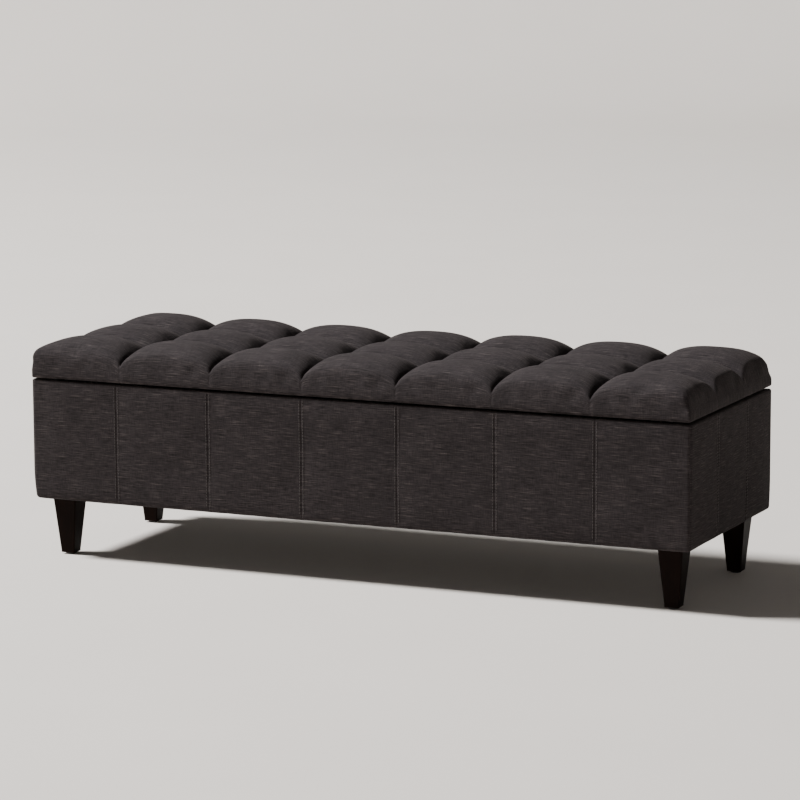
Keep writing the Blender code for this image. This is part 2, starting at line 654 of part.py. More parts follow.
def build_stay(end, lid):
    side = -1 if end == "left" else 1
    (pivot_y, pivot_z), (stud_y, stud_z), closed, opened = stay_places()
    wall = BODY_LENGTH / 2 - INSIDE  # the lining's face, from the middle of the bench

    def from_wall(distance):
        return side * (wall - distance)

    base_face = GAP + STAY_STEEL
    arm_back = base_face + ARM_CLEAR
    arm_front = arm_back + STAY_STEEL
    head_back = arm_front + ARM_CLEAR

    # Base plate with its headed stud, one riveted piece
    half = BASE_SIDE / 2
    low_x, high_x = sorted((from_wall(GAP), from_wall(base_face)))
    low = (low_x, stud_y - half, stud_z - half)
    high = (high_x, stud_y + half, stud_z + half)
    base = place(f"{end}_stay_base", box_mesh(low, high, "base"), STAY_SLOT)
    stud_in, stud_out = from_wall(base_face / 2), from_wall(head_back + STUD_HEAD / 2)
    join(base, cylinder_mesh(STUD_RADIUS, (stud_in, stud_y, stud_z), (stud_out, stud_y, stud_z), "stud", 16))
    head = ((from_wall(head_back), stud_y, stud_z), (from_wall(head_back + STUD_HEAD), stud_y, stud_z))
    join(base, cylinder_mesh(STUD_HEAD_RADIUS, *head, "stud_head", 16))

    # Arm: local X runs from its pivot past the stud, and its sheet faces the end wall
    down = math.atan2(stud_z - pivot_z, stud_y - pivot_y)
    frame = Matrix(((0, 0, 1), (math.cos(down), -math.sin(down), 0), (math.sin(down), math.cos(down), 0)))
    middle = from_wall((arm_back + arm_front) / 2)
    matrix = Matrix.Translation((middle, pivot_y, pivot_z)) @ frame.to_4x4()
    slot_radius = STUD_RADIUS + SLOT_CLEAR
    outlines = (
        round_bar(0, opened, ARM_WIDTH / 2),
        round_bar(closed, opened, slot_radius),
        round_bar(0, 0, RIVET_RADIUS + GAP),
    )
    flat_plate(f"{end}_stay_arm", outlines, STAY_STEEL, STAY_SLOT, matrix, lid)

    # Angle bracket under the lid: one flange on the lid's lining, the other beside the arm
    upright = head_back + STAY_STEEL / 2
    top = LID_UNDERSIDE - GAP - STAY_STEEL / 2
    profile = (
        (from_wall(upright + BRACKET_FLANGE), top),
        (from_wall(upright), top),
        (from_wall(upright), pivot_z - BRACKET_BELOW),
    )
    bm = bmesh.new()
    rows = [
        [bm.verts.new((x, pivot_y + along * BRACKET_LENGTH / 2, z)) for x, z in profile] for along in (-1, 1)
    ]
    for i in range(len(profile) - 1):
        bm.faces.new((rows[0][i], rows[0][i + 1], rows[1][i + 1], rows[1][i]))
    if end == "left":
        bmesh.ops.reverse_faces(bm, faces=bm.faces[:])
    bracket = place(f"{end}_stay_bracket", mesh_of(bm, "bracket"), STAY_SLOT, lid)
    sheet = bracket.modifiers.new("thickness", "SOLIDIFY")
    sheet.thickness = STAY_STEEL
    sheet.offset = 0.0
    sheet.use_even_offset = True
    reach = ((from_wall(0), pivot_y, pivot_z), (from_wall(upright + 0.01), pivot_y, pivot_z))
    drill(bracket, RIVET_RADIUS + GAP, *reach, 16)

    # Pivot rivet through the arm and the bracket, with a head on both sides
    back = arm_back - GAP
    front = head_back + STAY_STEEL + GAP
    shank = (from_wall(back - RIVET_HEAD / 2), from_wall(front + RIVET_HEAD / 2))
    rivet_mesh = cylinder_mesh(RIVET_RADIUS, (shank[0], 0, 0), (shank[1], 0, 0), "rivet", 16)
    rivet = place(f"{end}_stay_rivet", rivet_mesh, STEEL_SLOT, lid, (0, pivot_y, pivot_z))
    for start, stop in ((back - RIVET_HEAD, back), (front, front + RIVET_HEAD)):
        head_span = ((from_wall(start), 0, 0), (from_wall(stop), 0, 0))
        join(rivet, cylinder_mesh(RIVET_HEAD_RADIUS, *head_span, "rivet_head", 16))


for old in list(bpy.data.objects):
    bpy.data.objects.remove(old)
PARTS = new_collection("storage_bench")
CUTTERS = new_collection("cutters")

lid_axis = bpy.data.objects.new("lid_axis", None)
PARTS.objects.link(lid_axis)
lid_axis.location = (0, HINGE_Y, HINGE_Z)
bpy.context.view_layer.update()

build_box()
build_legs()
build_lid(lid_axis)
build_hinges(lid_axis)
for stay_end in ("left", "right"):
    build_stay(stay_end, lid_axis)
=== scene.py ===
import math

import bmesh
import bpy
from mathutils import Matrix, Vector, noise


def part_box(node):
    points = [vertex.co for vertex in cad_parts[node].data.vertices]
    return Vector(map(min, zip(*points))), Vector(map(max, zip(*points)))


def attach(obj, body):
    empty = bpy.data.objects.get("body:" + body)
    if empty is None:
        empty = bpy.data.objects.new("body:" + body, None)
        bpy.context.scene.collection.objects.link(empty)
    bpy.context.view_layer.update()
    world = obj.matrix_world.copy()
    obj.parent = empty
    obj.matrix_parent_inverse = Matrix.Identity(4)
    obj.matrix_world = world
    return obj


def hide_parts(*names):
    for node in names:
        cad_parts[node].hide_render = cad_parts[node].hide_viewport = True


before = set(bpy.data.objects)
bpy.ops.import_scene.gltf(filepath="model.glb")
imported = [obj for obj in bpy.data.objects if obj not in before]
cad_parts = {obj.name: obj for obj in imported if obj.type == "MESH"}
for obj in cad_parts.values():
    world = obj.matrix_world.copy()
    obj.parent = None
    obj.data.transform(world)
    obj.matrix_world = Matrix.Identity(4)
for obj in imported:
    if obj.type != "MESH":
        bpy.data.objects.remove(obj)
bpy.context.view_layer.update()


# ----------------------------------------
# Carcass: four plywood walls butted round a thin bottom board, on bearers and battens of the same ply.
# It is poplar plywood as it comes from the saw, glued and stapled, and nothing of it shows once covered.

def linear(colour):
    """An sRGB hex colour as the linear colour that a shader takes."""
    shares = [int(colour[i:i + 2], 16) / 255 for i in (1, 3, 5)]
    return (*[c / 12.92 if c <= 0.04045 else ((c + 0.055) / 1.055) ** 2.4 for c in shares], 1.0)


def add(tree, kind, inputs, **settings):
    """Adds a shader node. An input is given a value, a hex colour, an output, or a node, whose main output
    feeds it."""
    made = tree.nodes.new("ShaderNode" + kind)
    for name, value in settings.items():
        setattr(made, name, value)
    for name, value in inputs.items():
        if isinstance(value, str):
            value = linear(value)
        if isinstance(value, bpy.types.Node):
            value = next(out for out in value.outputs if out.enabled)
        if isinstance(value, bpy.types.NodeSocket):
            tree.links.new(value, made.inputs[name])
        else:
            made.inputs[name].default_value = value
    return made


def new_material(name, on_cloth=False):
    """A material without a shader, its node tree, and the place that its patterns are laid out by: in metres
    on the piece, or along the yarns of the cloth."""
    made = bpy.data.materials.new(name)
    made.use_nodes = True
    tree = made.node_tree
    tree.nodes.clear()
    if on_cloth:
        return made, tree, add(tree, "UVMap", {}, uv_map="cloth")
    return made, tree, add(tree, "TexCoord", {}).outputs["Object"]


def surface(tree, colour, dullness, relief, more=()):
    """Ends a material. Dullness is a pattern and the roughness at its least and its most, relief is a
    pattern, its depth in metres and its strength, and more sets the shader's other inputs."""
    pattern, smooth, rough = dullness
    roughness = add(tree, "MapRange", {"Value": pattern, "To Min": smooth, "To Max": rough})
    pattern, depth, strength = relief
    bump = add(tree, "Bump", {"Height": pattern, "Distance": depth, "Strength": strength})
    shader = add(tree, "BsdfPrincipled", {"Base Color": colour, "Roughness": roughness, "Normal": bump,
                                          **dict(more)})
    add(tree, "OutputMaterial", {"Surface": shader})


def paint(material, *objects):
    for obj in objects:
        obj.data.materials.clear()
        obj.data.materials.append(material)


# Poplar plywood, sanded and unfinished: pale tan veneer with long grain lines and a dry, matt surface.
poplar_plywood, tree, place_on = new_material("poplar_plywood_sanded")
grain_space = add(tree, "Mapping", {"Vector": place_on, "Scale": (6, 90, 260)})
grain = add(tree, "TexNoise", {"Vector": grain_space, "Scale": 1.0, "Detail": 4.0})
plies = add(tree, "TexWave", {"Vector": place_on, "Scale": 105.0, "Distortion": 1.5},
            bands_direction="DIAGONAL")
veneer = add(tree, "Mix", {0: grain, 6: "#A98458", 7: "#D2B083"}, data_type="RGBA")
edge = add(tree, "MapRange", {"Value": plies.outputs["Fac"], "To Min": 0.86, "To Max": 1.0})
tone = add(tree, "Mix", {0: 1.0, 6: veneer, 7: edge}, data_type="RGBA", blend_type="MULTIPLY")
surface(tree, tone, (grain, 0.62, 0.8), (grain, 0.0003, 0.5))

boards = ["front_panel", "back_panel", "left_panel", "right_panel", "bottom_board", "left_bearer",
          "right_bearer", "centre_bearer", "front_batten", "back_batten", "lid_board"]
paint(poplar_plywood, *[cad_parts[name] for name in boards])


# ----------------------------------------
# Wadding: a thin batt of bonded polyester fibre on the outside of each wall, sprayed on with glue.
# It rounds the arrises off under the cloth and gives each sewn panel its slight swell.

WADDING_ROUND = 0.0023  # how far the batt's edges thin out
WADDING_SHORT = 0.0035  # how far it stops short of the corners, and of the rim and the hem
WADDING_SHORT_UP = 0.0025
GLUED_DOWN = 0.35  # most that the glue takes off its thickness, as a share
END_SWELL = (0.0050, 0.0042)  # how far the folded ends of the batts push out the left and the right end
END_SWELL_DEEP = 0.016  # how far round the corner the swelling starts
DRAWN_IN = 0.060  # height over which the left end draws in again towards the hem
RIM_LUMP = 0.0012  # the cloth is bunched up at the front left corner of the rim
BUNCH_SPREAD = 0.035

# Bonded polyester fibre: white, matt and matted, with soft clumps 5 to 10 mm across.
polyester_batt, tree, place_on = new_material("polyester_batt_bonded")
clumps = add(tree, "TexNoise", {"Vector": place_on, "Scale": 140.0, "Detail": 3.0})
fibres = add(tree, "TexNoise", {"Vector": place_on, "Scale": 1500.0, "Detail": 2.0, "Distortion": 2.0})
tone = add(tree, "Mix", {0: clumps, 6: "#D9D6CF", 7: "#F0EEE8"}, data_type="RGBA")
matted = add(tree, "Math", {0: clumps, 1: fibres}, operation="ADD")
surface(tree, tone, (fibres, 0.85, 1.0), (matted, 0.001, 0.6), {"Sheen Weight": 0.3})


def new_object(name, data):
    obj = bpy.data.objects.new(name, data)
    bpy.context.scene.collection.objects.link(obj)
    return obj


def mesh_object(name, bm, material):
    data = bpy.data.meshes.new(name)
    bm.to_mesh(data)
    bm.free()
    data.materials.append(material)
    return new_object(name, data)


def mesh_piece(name, bm, material, body, replaces=()):
    """A finished piece from its mesh, riding on its body."""
    obj = mesh_object(name, bm, material)
    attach(obj, body)
    if replaces:
        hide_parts(*replaces)
    return obj


def soft_block(low, high, rounding, cells):
    """A box cut into a grid of cells, with its edges rounded off."""
    bm = bmesh.new()
    size = high - low
    middle = Matrix.Translation((low + high) / 2) @ Matrix.Diagonal((*size, 1.0))
    bmesh.ops.create_cube(bm, size=1.0, matrix=middle)
    for axis, count in enumerate(cells):
        for step in range(1, count):
            at = low.copy()
            at[axis] += size[axis] * step / count
            across = Vector([float(i == axis) for i in range(3)])
            every = bm.verts[:] + bm.edges[:] + bm.faces[:]
            bmesh.ops.bisect_plane(bm, geom=every, plane_co=at, plane_no=across)
    arrises = [e for e in bm.edges if len(e.link_faces) == 2 and e.calc_face_angle() > 1.0]
    bmesh.ops.bevel(bm, geom=arrises, offset=rounding, segments=3, profile=0.5, affect="EDGES")
    for face in bm.faces:
        face.smooth = True
    return bm


def held(value):
    """The value, kept between 0 and 1."""
    return min(1.0, max(0.0, value))


front_low, front_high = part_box("front_cover")
half_long, rim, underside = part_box("right_cover")[1].x, front_high.z, front_low.z


def swollen(spot):
    """Where a point of the cover or its batt ends up, with the ends of the box swollen by the folds in
    them."""
    near = held(1 - (half_long - abs(spot.x)) / END_SWELL_DEEP)
    up = held((spot.z - underside) / DRAWN_IN)
    up = up * (2 - up)
    swell = END_SWELL[0] * up if spot.x < 0 else END_SWELL[1] * (0.6 + 0.4 * up)
    away = (spot.x + half_long) ** 2 + (spot.y - front_low.y) ** 2
    lump = RIM_LUMP * math.exp(-away / BUNCH_SPREAD ** 2) * (spot.z > rim - 0.004)
    return Vector((spot.x + math.copysign(swell * near, spot.x), spot.y, spot.z + lump))


for side in ("front", "back", "left", "right"):
    low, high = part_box(f"{side}_wadding")
    long_way = side in ("front", "back")
    cells = (26, 1, 5) if long_way else (1, 9, 5)
    ends = Vector((WADDING_SHORT, 0.0, 0.0) if long_way else (0.0, WADDING_SHORT, 0.0))
    ends.z = WADDING_SHORT_UP
    bm = soft_block(low + ends, high - ends, WADDING_ROUND, cells)
    centre, axis = (low + high) / 2, 1 if long_way else 0
    for vert in bm.verts:  # glued down here and there, so the batt is a little thinner in places
        thinner = 0.35 + 0.35 * noise.noise(vert.co * 22)
        vert.co[axis] -= (vert.co[axis] - centre[axis]) * GLUED_DOWN * max(0.0, thinner)
        vert.co = swollen(vert.co)
    batt_piece = mesh_piece(f"{side}_batt", bm, polyester_batt, "box", [f"{side}_wadding"])


# ----------------------------------------
# Box covers: one length of linen-look polyester per side, each seamed into panels and topstitched, then
# pulled over the wadding, turned down inside the rim and turned under the bottom, and sewn at the corners.

RIM_ROUND = 0.0028  # radii that the cloth takes over the edges
INSIDE_ROUND = 0.0030
HEM_ROUND = 0.0065
CORNER_ROUND = 0.0065
LONG_PANEL = 0.187  # spacing of the seams on the long sides, and on the ends
END_PANEL = 0.154
PANEL_SWELL = 0.0017
PANEL_EASE = 0.03  # from a seam, a corner or an edge, the swell takes this far to rise
RIM_FILL = 0.0012  # how far the batt fills out the outer edge of the rim, over its width
RIM_FILL_WIDTH = 0.012
SEAM_DIP = 0.0007  # how far a seam is drawn in, and on the rim
SEAM_DIP_RIM = 0.0006
SEAM_WIDTH = 0.0010
PUCKER = 0.00045  # gathers beside a seam, slack between seams, and the wave in the hem
SLACK = 0.0008
HEM_WAVE = 0.0011
SEAM_LIP = 0.0022  # how far from the seam the lip lies that is painted paler, a painted highlight
CLOTH_EDGE = 0.0012  # thickness of the cloth where it is doubled at its edge
TURN_IN = 0.0212  # how far the cloth runs down inside the rim, and in under the bottom
HEM = 0.025
WALL_CLEAR = 0.0015  # how far the turned-in cloth stands off the wall


def bend_path(corners, radii, step):
    """Points along a bent strip in (depth, height), rounded at its corners: (run, point, outward)."""
    corners = [Vector(corner) for corner in corners]
    radii = [0.0, *radii, 0.0]
    legs = [(b - a).normalized() for a, b in zip(corners, corners[1:])]
    points = []
    for i, corner in enumerate(corners):
        if not radii[i]:
            points.append(corner)
            continue
        start, end = corner - legs[i - 1] * radii[i], corner + legs[i] * radii[i]
        centre = start + end - corner
        for k in range(7):
            turn = math.pi / 2 * k / 6
            points.append(centre + (start - centre) * math.cos(turn) + (end - centre) * math.sin(turn))
    path, run = [], 0.0
    for a, b in zip(points, points[1:]):
        cuts = max(1, round((b - a).length / step))
        for k in range(cuts):
            path.append((run + (b - a).length * k / cuts, a.lerp(b, k / cuts)))
        run += (b - a).length
    path.append((run, points[-1]))
    turned = []
    for k, (run, point) in enumerate(path):
        along = (path[min(k + 1, len(path) - 1)][1] - path[max(k - 1, 0)][1]).normalized()
        turned.append((run, point, Vector((along.y, -along.x))))
    return turned


def cloth_grid(across, along, place):
    """A sheet on a grid. Its UV map holds the cloth's own coordinates in metres, weft first."""
    bm = bmesh.new()
    uv = bm.loops.layers.uv.new("cloth")
    rows = [[bm.verts.new(place(i, j)) for i in range(len(across))] for j in range(len(along))]
    for j in range(len(along) - 1):
        for i in range(len(across) - 1):
            spots = ((i, j), (i, j + 1), (i + 1, j + 1), (i + 1, j))
            face = bm.faces.new([rows[b][a] for a, b in spots])
            face.smooth = True
            for loop, (a, b) in zip(face.loops, spots):
                loop[uv].uv = (across[a], along[b])
    return bm


def spread_round(centres, reach, fine, coarse, half):
    """Grid lines from -half to half: fine ones within reach of each centre and coarse ones between."""
    lines = {-half, half}
    for centre in centres:
        lines |= {centre + fine * k for k in range(-round(reach / fine), round(reach / fine) + 1)}
    lines = sorted(line for line in lines if -half <= line <= half)
    filled = []
    for a, b in zip(lines, lines[1:]):
        cuts = max(1, math.ceil((b - a) / coarse - 1e-6))
        filled += [a + (b - a) * k / cuts for k in range(cuts)]
    return filled + [half]


# Linen-look polyester, plain weave of slubbed yarn, charcoal: a warm near-black with paler and darker
# yarns, matt, with very little bloom where it turns away. The yarns are 0.5 mm and the slubs 10 to 40 mm
# long. The rows are drawn 1.2 mm apart and the slubs 1.8 mm high, or they would be too fine to show.
charcoal_linen, tree, on_cloth = new_material("charcoal_linen_look_polyester", on_cloth=True)
weft_space = add(tree, "Mapping", {"Vector": on_cloth, "Scale": (70, 850, 1)})
weft = add(tree, "TexNoise", {"Vector": weft_space, "Scale": 1.0, "Detail": 2.0, "Roughness": 0.7})
slub_space = add(tree, "Mapping", {"Vector": on_cloth, "Scale": (30, 640, 1), "Location": (3.1, 7.7, 0)})
slub = add(tree, "TexNoise", {"Vector": slub_space, "Scale": 1.0, "Detail": 1.5})
warp_space = add(tree, "Mapping", {"Vector": on_cloth, "Scale": (620, 60, 1)})
warp = add(tree, "TexNoise", {"Vector": warp_space, "Scale": 1.0, "Detail": 1.5})
dye = add(tree, "TexNoise", {"Vector": on_cloth, "Scale": 14.0, "Detail": 3.0})
yarn = add(tree, "MapRange", {"Value": weft, "From Min": 0.32, "From Max": 0.66})
body = add(tree, "Mix", {0: yarn, 6: "#1C191A", 7: "#322D2E"}, data_type="RGBA")
thick = add(tree, "MapRange", {"Value": slub, "From Min": 0.57, "From Max": 0.76})
tone = add(tree, "Mix", {0: thick, 6: body, 7: "#443E3D"}, data_type="RGBA")
# Painted highlight: the cloth is painted up to 1.4 times paler on the lips beside each seam and along the
# box's corners, where raised cloth catches the light.
painted_highlight = add(tree, "Attribute", {}, attribute_name="painted_edge_highlight").outputs["Fac"]
for pattern, least, most, darkest, palest in (
        (warp, 0.32, 0.7, 0.79, 1.17), (slub, 0.31, 0.46, 0.55, 1.0), (dye, 0.3, 0.7, 0.88, 1.12),
        (painted_highlight, 0.0, 1.0, 1.0, 1.4)):  # each makes the yarn darker or paler in turn
    share = add(tree, "MapRange", {"Value": pattern, "From Min": least, "From Max": most,
                                   "To Min": darkest, "To Max": palest})
    tone = add(tree, "Mix", {0: 1.0, 6: tone, 7: share}, data_type="RGBA", blend_type="MULTIPLY")
raised = add(tree, "Math", {0: weft, 1: warp}, operation="ADD")
lumps = add(tree, "Math", {0: raised, 1: slub}, operation="ADD")
surface(tree, tone, (weft, 0.8, 1.0), (lumps, 0.0006, 0.6), {
    "Sheen Weight": 0.03, "Sheen Roughness": 0.5, "Sheen Tint": "#C9B8B2",
    "Specular IOR Level": 0.09})

# Bonded polyester sewing thread, one shade lighter than the cloth: a slight gloss on each short stitch.
grey_thread, tree, place_on = new_material("grey_polyester_thread")
twist = add(tree, "TexWave", {"Vector": place_on, "Scale": 700.0, "Distortion": 1.0},
            bands_direction="DIAGONAL").outputs["Fac"]
tone = add(tree, "Mix", {0: twist, 6: "#2E2928", 7: "#453F3C"}, data_type="RGBA")
surface(tree, tone, (twist, 0.4, 0.6), (twist, 0.0002, 0.5))


def join_rings(bm, rings, smooth=True):
    """Makes the faces between each ring of points and the next."""
    for a, b in zip(rings, rings[1:]):
        for k in range(len(a)):
            n = (k + 1) % len(a)
            bm.faces.new((a[k], a[n], b[n], b[k])).smooth = smooth


def lay_stitch(bm, start, end, out, radius):
    """One stitch: a short bar of thread that goes into the cloth at both ends."""
    along = (end - start).normalized()
    beside = along.cross(out).normalized()
    rings = []
    for share, lift, girth in ((0.0, -0.9, 0.6), (0.14, 0.2, 1.0), (0.5, 0.45, 1.1), (0.86, 0.2, 1.0),
                               (1.0, -0.9, 0.6)):
        centre = start.lerp(end, share) + out * radius * lift
        ring = []
        for k in range(6):
            turn = math.pi * k / 3
            offset = beside * math.cos(turn) + out * math.sin(turn)
            ring.append(bm.verts.new(centre + offset * radius * girth))
        rings.append(ring)
    join_rings(bm, rings)
    bm.faces.new(rings[0][::-1])
    bm.faces.new(rings[-1])


STITCH = 0.0042  # length of a topstitch, the gap to the next, and how far it stands from the seam
STITCH_GAP = 0.0014
STITCH_BESIDE = 0.0035
STITCH_RADIUS = 0.00040

half_deep = (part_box("back_cover")[1].y - front_low.y) / 2
box_middle = Vector((0.0, front_low.y + half_deep, 0.0))
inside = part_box("front_panel")[1].y - front_low.y + WALL_CLEAR
bends = ((inside, rim - TURN_IN), (inside, rim), (0.0, rim), (0.0, underside), (HEM, underside))
strip = bend_path(bends, (INSIDE_ROUND, RIM_ROUND, HEM_ROUND), 0.0045)
corner_arc = CORNER_ROUND * math.pi / 4


def room_at(height):
    """How free the cloth is to swell at this height, from 0 at the rim and the hem to 1."""
    return math.sin(held(min(height - underside, rim - height) / PANEL_EASE) * math.pi / 2)


for side, turns in (("front", 0), ("right", 1), ("back", 2), ("left", 3)):
    long_way = side in ("front", "back")
    half = half_long if long_way else half_deep
    out_by = half_deep if long_way else half_long
    pitch = LONG_PANEL if long_way else END_PANEL
    count = 7 if long_way else 3
    seams = [pitch * (k - count / 2) for k in range(1, count)]
    reach = half - CORNER_ROUND + corner_arc
    columns = spread_round(seams, 0.0042, 0.0007, 0.011, reach - corner_arc)
    columns = ([-reach + corner_arc * k / 6 for k in range(6)] + columns
               + [reach - corner_arc * k / 6 for k in range(5, -1, -1)])
    turn = Matrix.Translation(box_middle) @ Matrix.Rotation(turns * math.pi / 2, 4, "Z")

    def on_cover(i, j):
        """A point of the cover: column i round the box, row j down the strip."""
        _, (depth, height), outward = strip[j]
        spot = columns[i]
        from_end = reach - abs(spot)  # measured round the corner
        free = held((from_end - corner_arc) / PANEL_EASE)
        near_seam = min(abs(spot - seam) for seam in seams)
        place_in = (spot / pitch + 0.5) % 1.0 * 2 - 1 if abs(spot) < seams[-1] else (
            2 * (abs(spot) - seams[-1]) / (half - seams[-1]) - 1)
        edge_room = room_at(height)
        swell = PANEL_SWELL * (1 - abs(place_in) ** 2.6) * edge_room * free
        sewn = math.exp(-(near_seam / SEAM_WIDTH) ** 2)
        swell -= (SEAM_DIP + swell) * sewn
        pucker = noise.noise(Vector((spot * 160, height * 75, turns * 7.0)))
        swell += PUCKER * pucker * math.exp(-near_seam / 0.016) * free * (1 - sewn)
        slack = noise.noise(Vector((spot * 14, height * 22, turns * 3.0 + 1.5)))
        swell += SLACK * slack * edge_room * free
        if depth > 0.0005 and height > rim - 0.002:  # the seams run on over the rim
            swell = -SEAM_DIP_RIM * sewn
        elif depth > HEM_ROUND:
            swell = 0.0
        depth += outward.x * swell
        height += outward.y * swell
        if side != "back":  # the batt fills the outer edge of the rim
            if height > rim - RIM_ROUND:
                height += RIM_FILL * math.sin(math.pi * held(depth / RIM_FILL_WIDTH))
        hem_wave = HEM_WAVE * noise.noise(Vector((spot * 11, turns * 5.0, 8.0)))
        height += hem_wave * max(0.0, 1 - (height - underside) / 0.03) * free
        if depth < CORNER_ROUND:
            angle = math.pi / 4 * max(0.0, 1 - from_end / corner_arc)
            short = CORNER_ROUND + max(0.0, from_end - corner_arc)
            short -= (CORNER_ROUND - depth) * math.sin(angle)
            depth = CORNER_ROUND - (CORNER_ROUND - depth) * math.cos(angle)
        else:
            short = max(CORNER_ROUND + max(0.0, from_end - corner_arc), depth + 0.15 * from_end)
        tuck = 0.0003 * max(0.0, 1 - from_end / 0.0015)  # the corner seam draws both edges in
        short, depth = short + tuck, depth + tuck
        return turn @ Vector((math.copysign(half - short, spot), depth - out_by, height))

    bm = cloth_grid(columns, [run for run, _, _ in strip], on_cover)
    # The edge under the bottom is doubled back by the cloth's own thickness.
    bm.verts.index_update()
    last_row = len(columns) * (len(strip) - 1)
    cut = [e for e in bm.edges if e.is_boundary and all(v.index >= last_row for v in e.verts)]
    made = bmesh.ops.extrude_edge_only(bm, edges=cut)["geom"]
    edge_verts = [item for item in made if isinstance(item, bmesh.types.BMVert)]
    bmesh.ops.translate(bm, vec=(0, 0, CLOTH_EDGE), verts=edge_verts)
    # The paler marks are painted highlight: on the raised lips beside each seam, broken up in patches, and
    # in a band along each corner.
    highlight_share = bm.verts.layers.float.new("painted_edge_highlight")
    for vert in bm.verts:
        spot = abs((turn.inverted() @ vert.co).x)
        lip = min(abs(abs(spot - abs(seam)) - SEAM_LIP) for seam in seams)  # painted highlight on the lips beside the seams
        patchy = 0.6 + 0.6 * noise.noise(Vector((spot * 60, vert.co.z * 45, turns * 2.0)))
        # a painted highlight in a band along the corner
        edge = max(0.0, 1 - abs(half - spot - 0.0025) / 0.003) * 0.35
        vert[highlight_share] = max(max(0.0, 1 - lip / 0.0014) * 0.45, edge) * max(0.0, patchy)
        vert.co = swollen(vert.co)
    cover = mesh_piece(f"{side}_cloth", bm, charcoal_linen, "box", [f"{side}_cover"])

    # Topstitching runs down both sides of every seam, over the rim and on to the hem.
    bm = bmesh.new()
    last_stitch = next(run for run, (_, height), outward in strip
                       if outward.x < -0.9 and height < underside + HEM_ROUND + 0.002)
    for seam in seams:
        for beside in (-STITCH_BESIDE, STITCH_BESIDE):
            spots = []
            for run, (depth, height), outward in strip:
                stand = PANEL_SWELL * 0.1 * room_at(height) + 0.00012
                flat = Vector((seam + beside, depth - out_by, height))
                out = Vector((0.0, outward.x, outward.y))
                spots.append((run, swollen(turn @ (flat + out * stand)), turn.to_3x3() @ out))

            def at_run(wanted):
                k = max(1, next((n for n, spot in enumerate(spots) if spot[0] >= wanted), len(spots) - 1))
                share = (wanted - spots[k - 1][0]) / (spots[k][0] - spots[k - 1][0])
                return spots[k - 1][1].lerp(spots[k][1], share), spots[k][2]

            run = 0.001
            while run + STITCH < last_stitch:
                (a, _), (b, out) = at_run(run), at_run(run + STITCH)
                lay_stitch(bm, a, b, out, STITCH_RADIUS)
                run += STITCH + STITCH_GAP
    mesh_piece(f"{side}_topstitch", bm, grey_thread, "box")


# ----------------------------------------
# Storage lining: black spun-bonded cloth, stapled round the top of the walls and loose over the bottom
# board, so it bellies in a little between its folds.

LINING_SLACK = 0.0022  # it bellies in by this much, from a little below its stapled rim
LINING_RIM = 0.006

# Spun-bonded polypropylene, black: a thin felt of plastic fibres pressed together at points. The points
# are 1 mm apart and are drawn 3 mm apart, or they would not show. It has a faint greasy shine.
spunbond_black, tree, place_on = new_material("spunbonded_polypropylene_black")
points = add(tree, "TexVoronoi", {"Vector": place_on, "Scale": 330.0, "Randomness": 0.35})
felt = add(tree, "TexNoise", {"Vector": place_on, "Scale": 420.0, "Detail": 3.0})
cloudy = add(tree, "TexNoise", {"Vector": place_on, "Scale": 30.0})
pressed = add(tree, "MapRange", {"Value": points, "From Min": 0.05, "From Max": 0.4})
felted = add(tree, "Mix", {0: felt, 6: "#0E0E0F", 7: "#232325"}, data_type="RGBA")
dim = add(tree, "MapRange", {"Value": cloudy, "To Min": 0.8, "To Max": 1.15})
tone = add(tree, "Mix", {0: 1.0, 6: felted, 7: dim}, data_type="RGBA", blend_type="MULTIPLY")
surface(tree, tone, (pressed, 0.5, 0.75), (pressed, 0.0004, 0.6), {"Specular IOR Level": 0.3})

low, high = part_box("storage_lining")
bm = soft_block(low, high, 0.004, (36, 12, 6))
lid_faces = [face for face in bm.faces if all(vert.co.z > high.z - 1e-5 for vert in face.verts)]
bmesh.ops.delete(bm, geom=lid_faces, context="FACES")
bmesh.ops.reverse_faces(bm, faces=bm.faces[:])
bm.normal_update()
for vert in bm.verts:
    if vert.co.z < high.z - LINING_RIM:
        loose = 0.5 + 0.5 * noise.noise(vert.co * 13) + 0.3 * noise.noise(vert.co * 41)
        near_rim = min(1.0, (high.z - vert.co.z) / 0.05)
        vert.co += vert.normal * LINING_SLACK * max(0.0, loose) * near_rim
lining_piece = mesh_piece("storage_lining_cloth", bm, spunbond_black, "box",
                          ["storage_lining"])
finer = lining_piece.modifiers.new("finer", "SUBSURF")
finer.levels = finer.render_levels = 1


# ----------------------------------------
# Legs: four square tapered feet sawn from rubberwood and stained, each on a steel hanger bolt that
# screws into a T-nut in the bearer, with a nailed plastic glide under its foot.

LEG_FOOT = 0.56  # width of the foot as a share of the width of the top
LEG_ARRIS = 0.0026  # the arrises are eased this much, and round the foot only this share of it
FOOT_EASED = 0.35

# Rubberwood, stained espresso and sprayed with satin lacquer: near-black brown, with a fine darker grain
# that runs down the leg, and a soft highlight. The arrises are painted paler, a painted highlight along
# them.
espresso_wood, tree, place_on = new_material("rubberwood_espresso_stain_satin")
down_leg = add(tree, "Mapping", {"Vector": place_on, "Scale": (420, 420, 14)})
pore = add(tree, "TexNoise", {"Vector": down_leg, "Scale": 1.0, "Detail": 4.0, "Roughness": 0.6})
slow_leg = add(tree, "Mapping", {"Vector": place_on, "Scale": (90, 90, 7)})
figure = add(tree, "TexNoise", {"Vector": slow_leg, "Scale": 1.0, "Detail": 2.0, "Distortion": 0.6})
stained = add(tree, "Mix", {0: figure, 6: "#050201", 7: "#130703"}, data_type="RGBA")
pore_dark = add(tree, "MapRange", {"Value": pore, "From Min": 0.35, "From Max": 0.6, "To Min": 0.7,
                                   "To Max": 1.1})
stain = add(tree, "Mix", {0: 1.0, 6: stained, 7: pore_dark}, data_type="RGBA", blend_type="MULTIPLY")
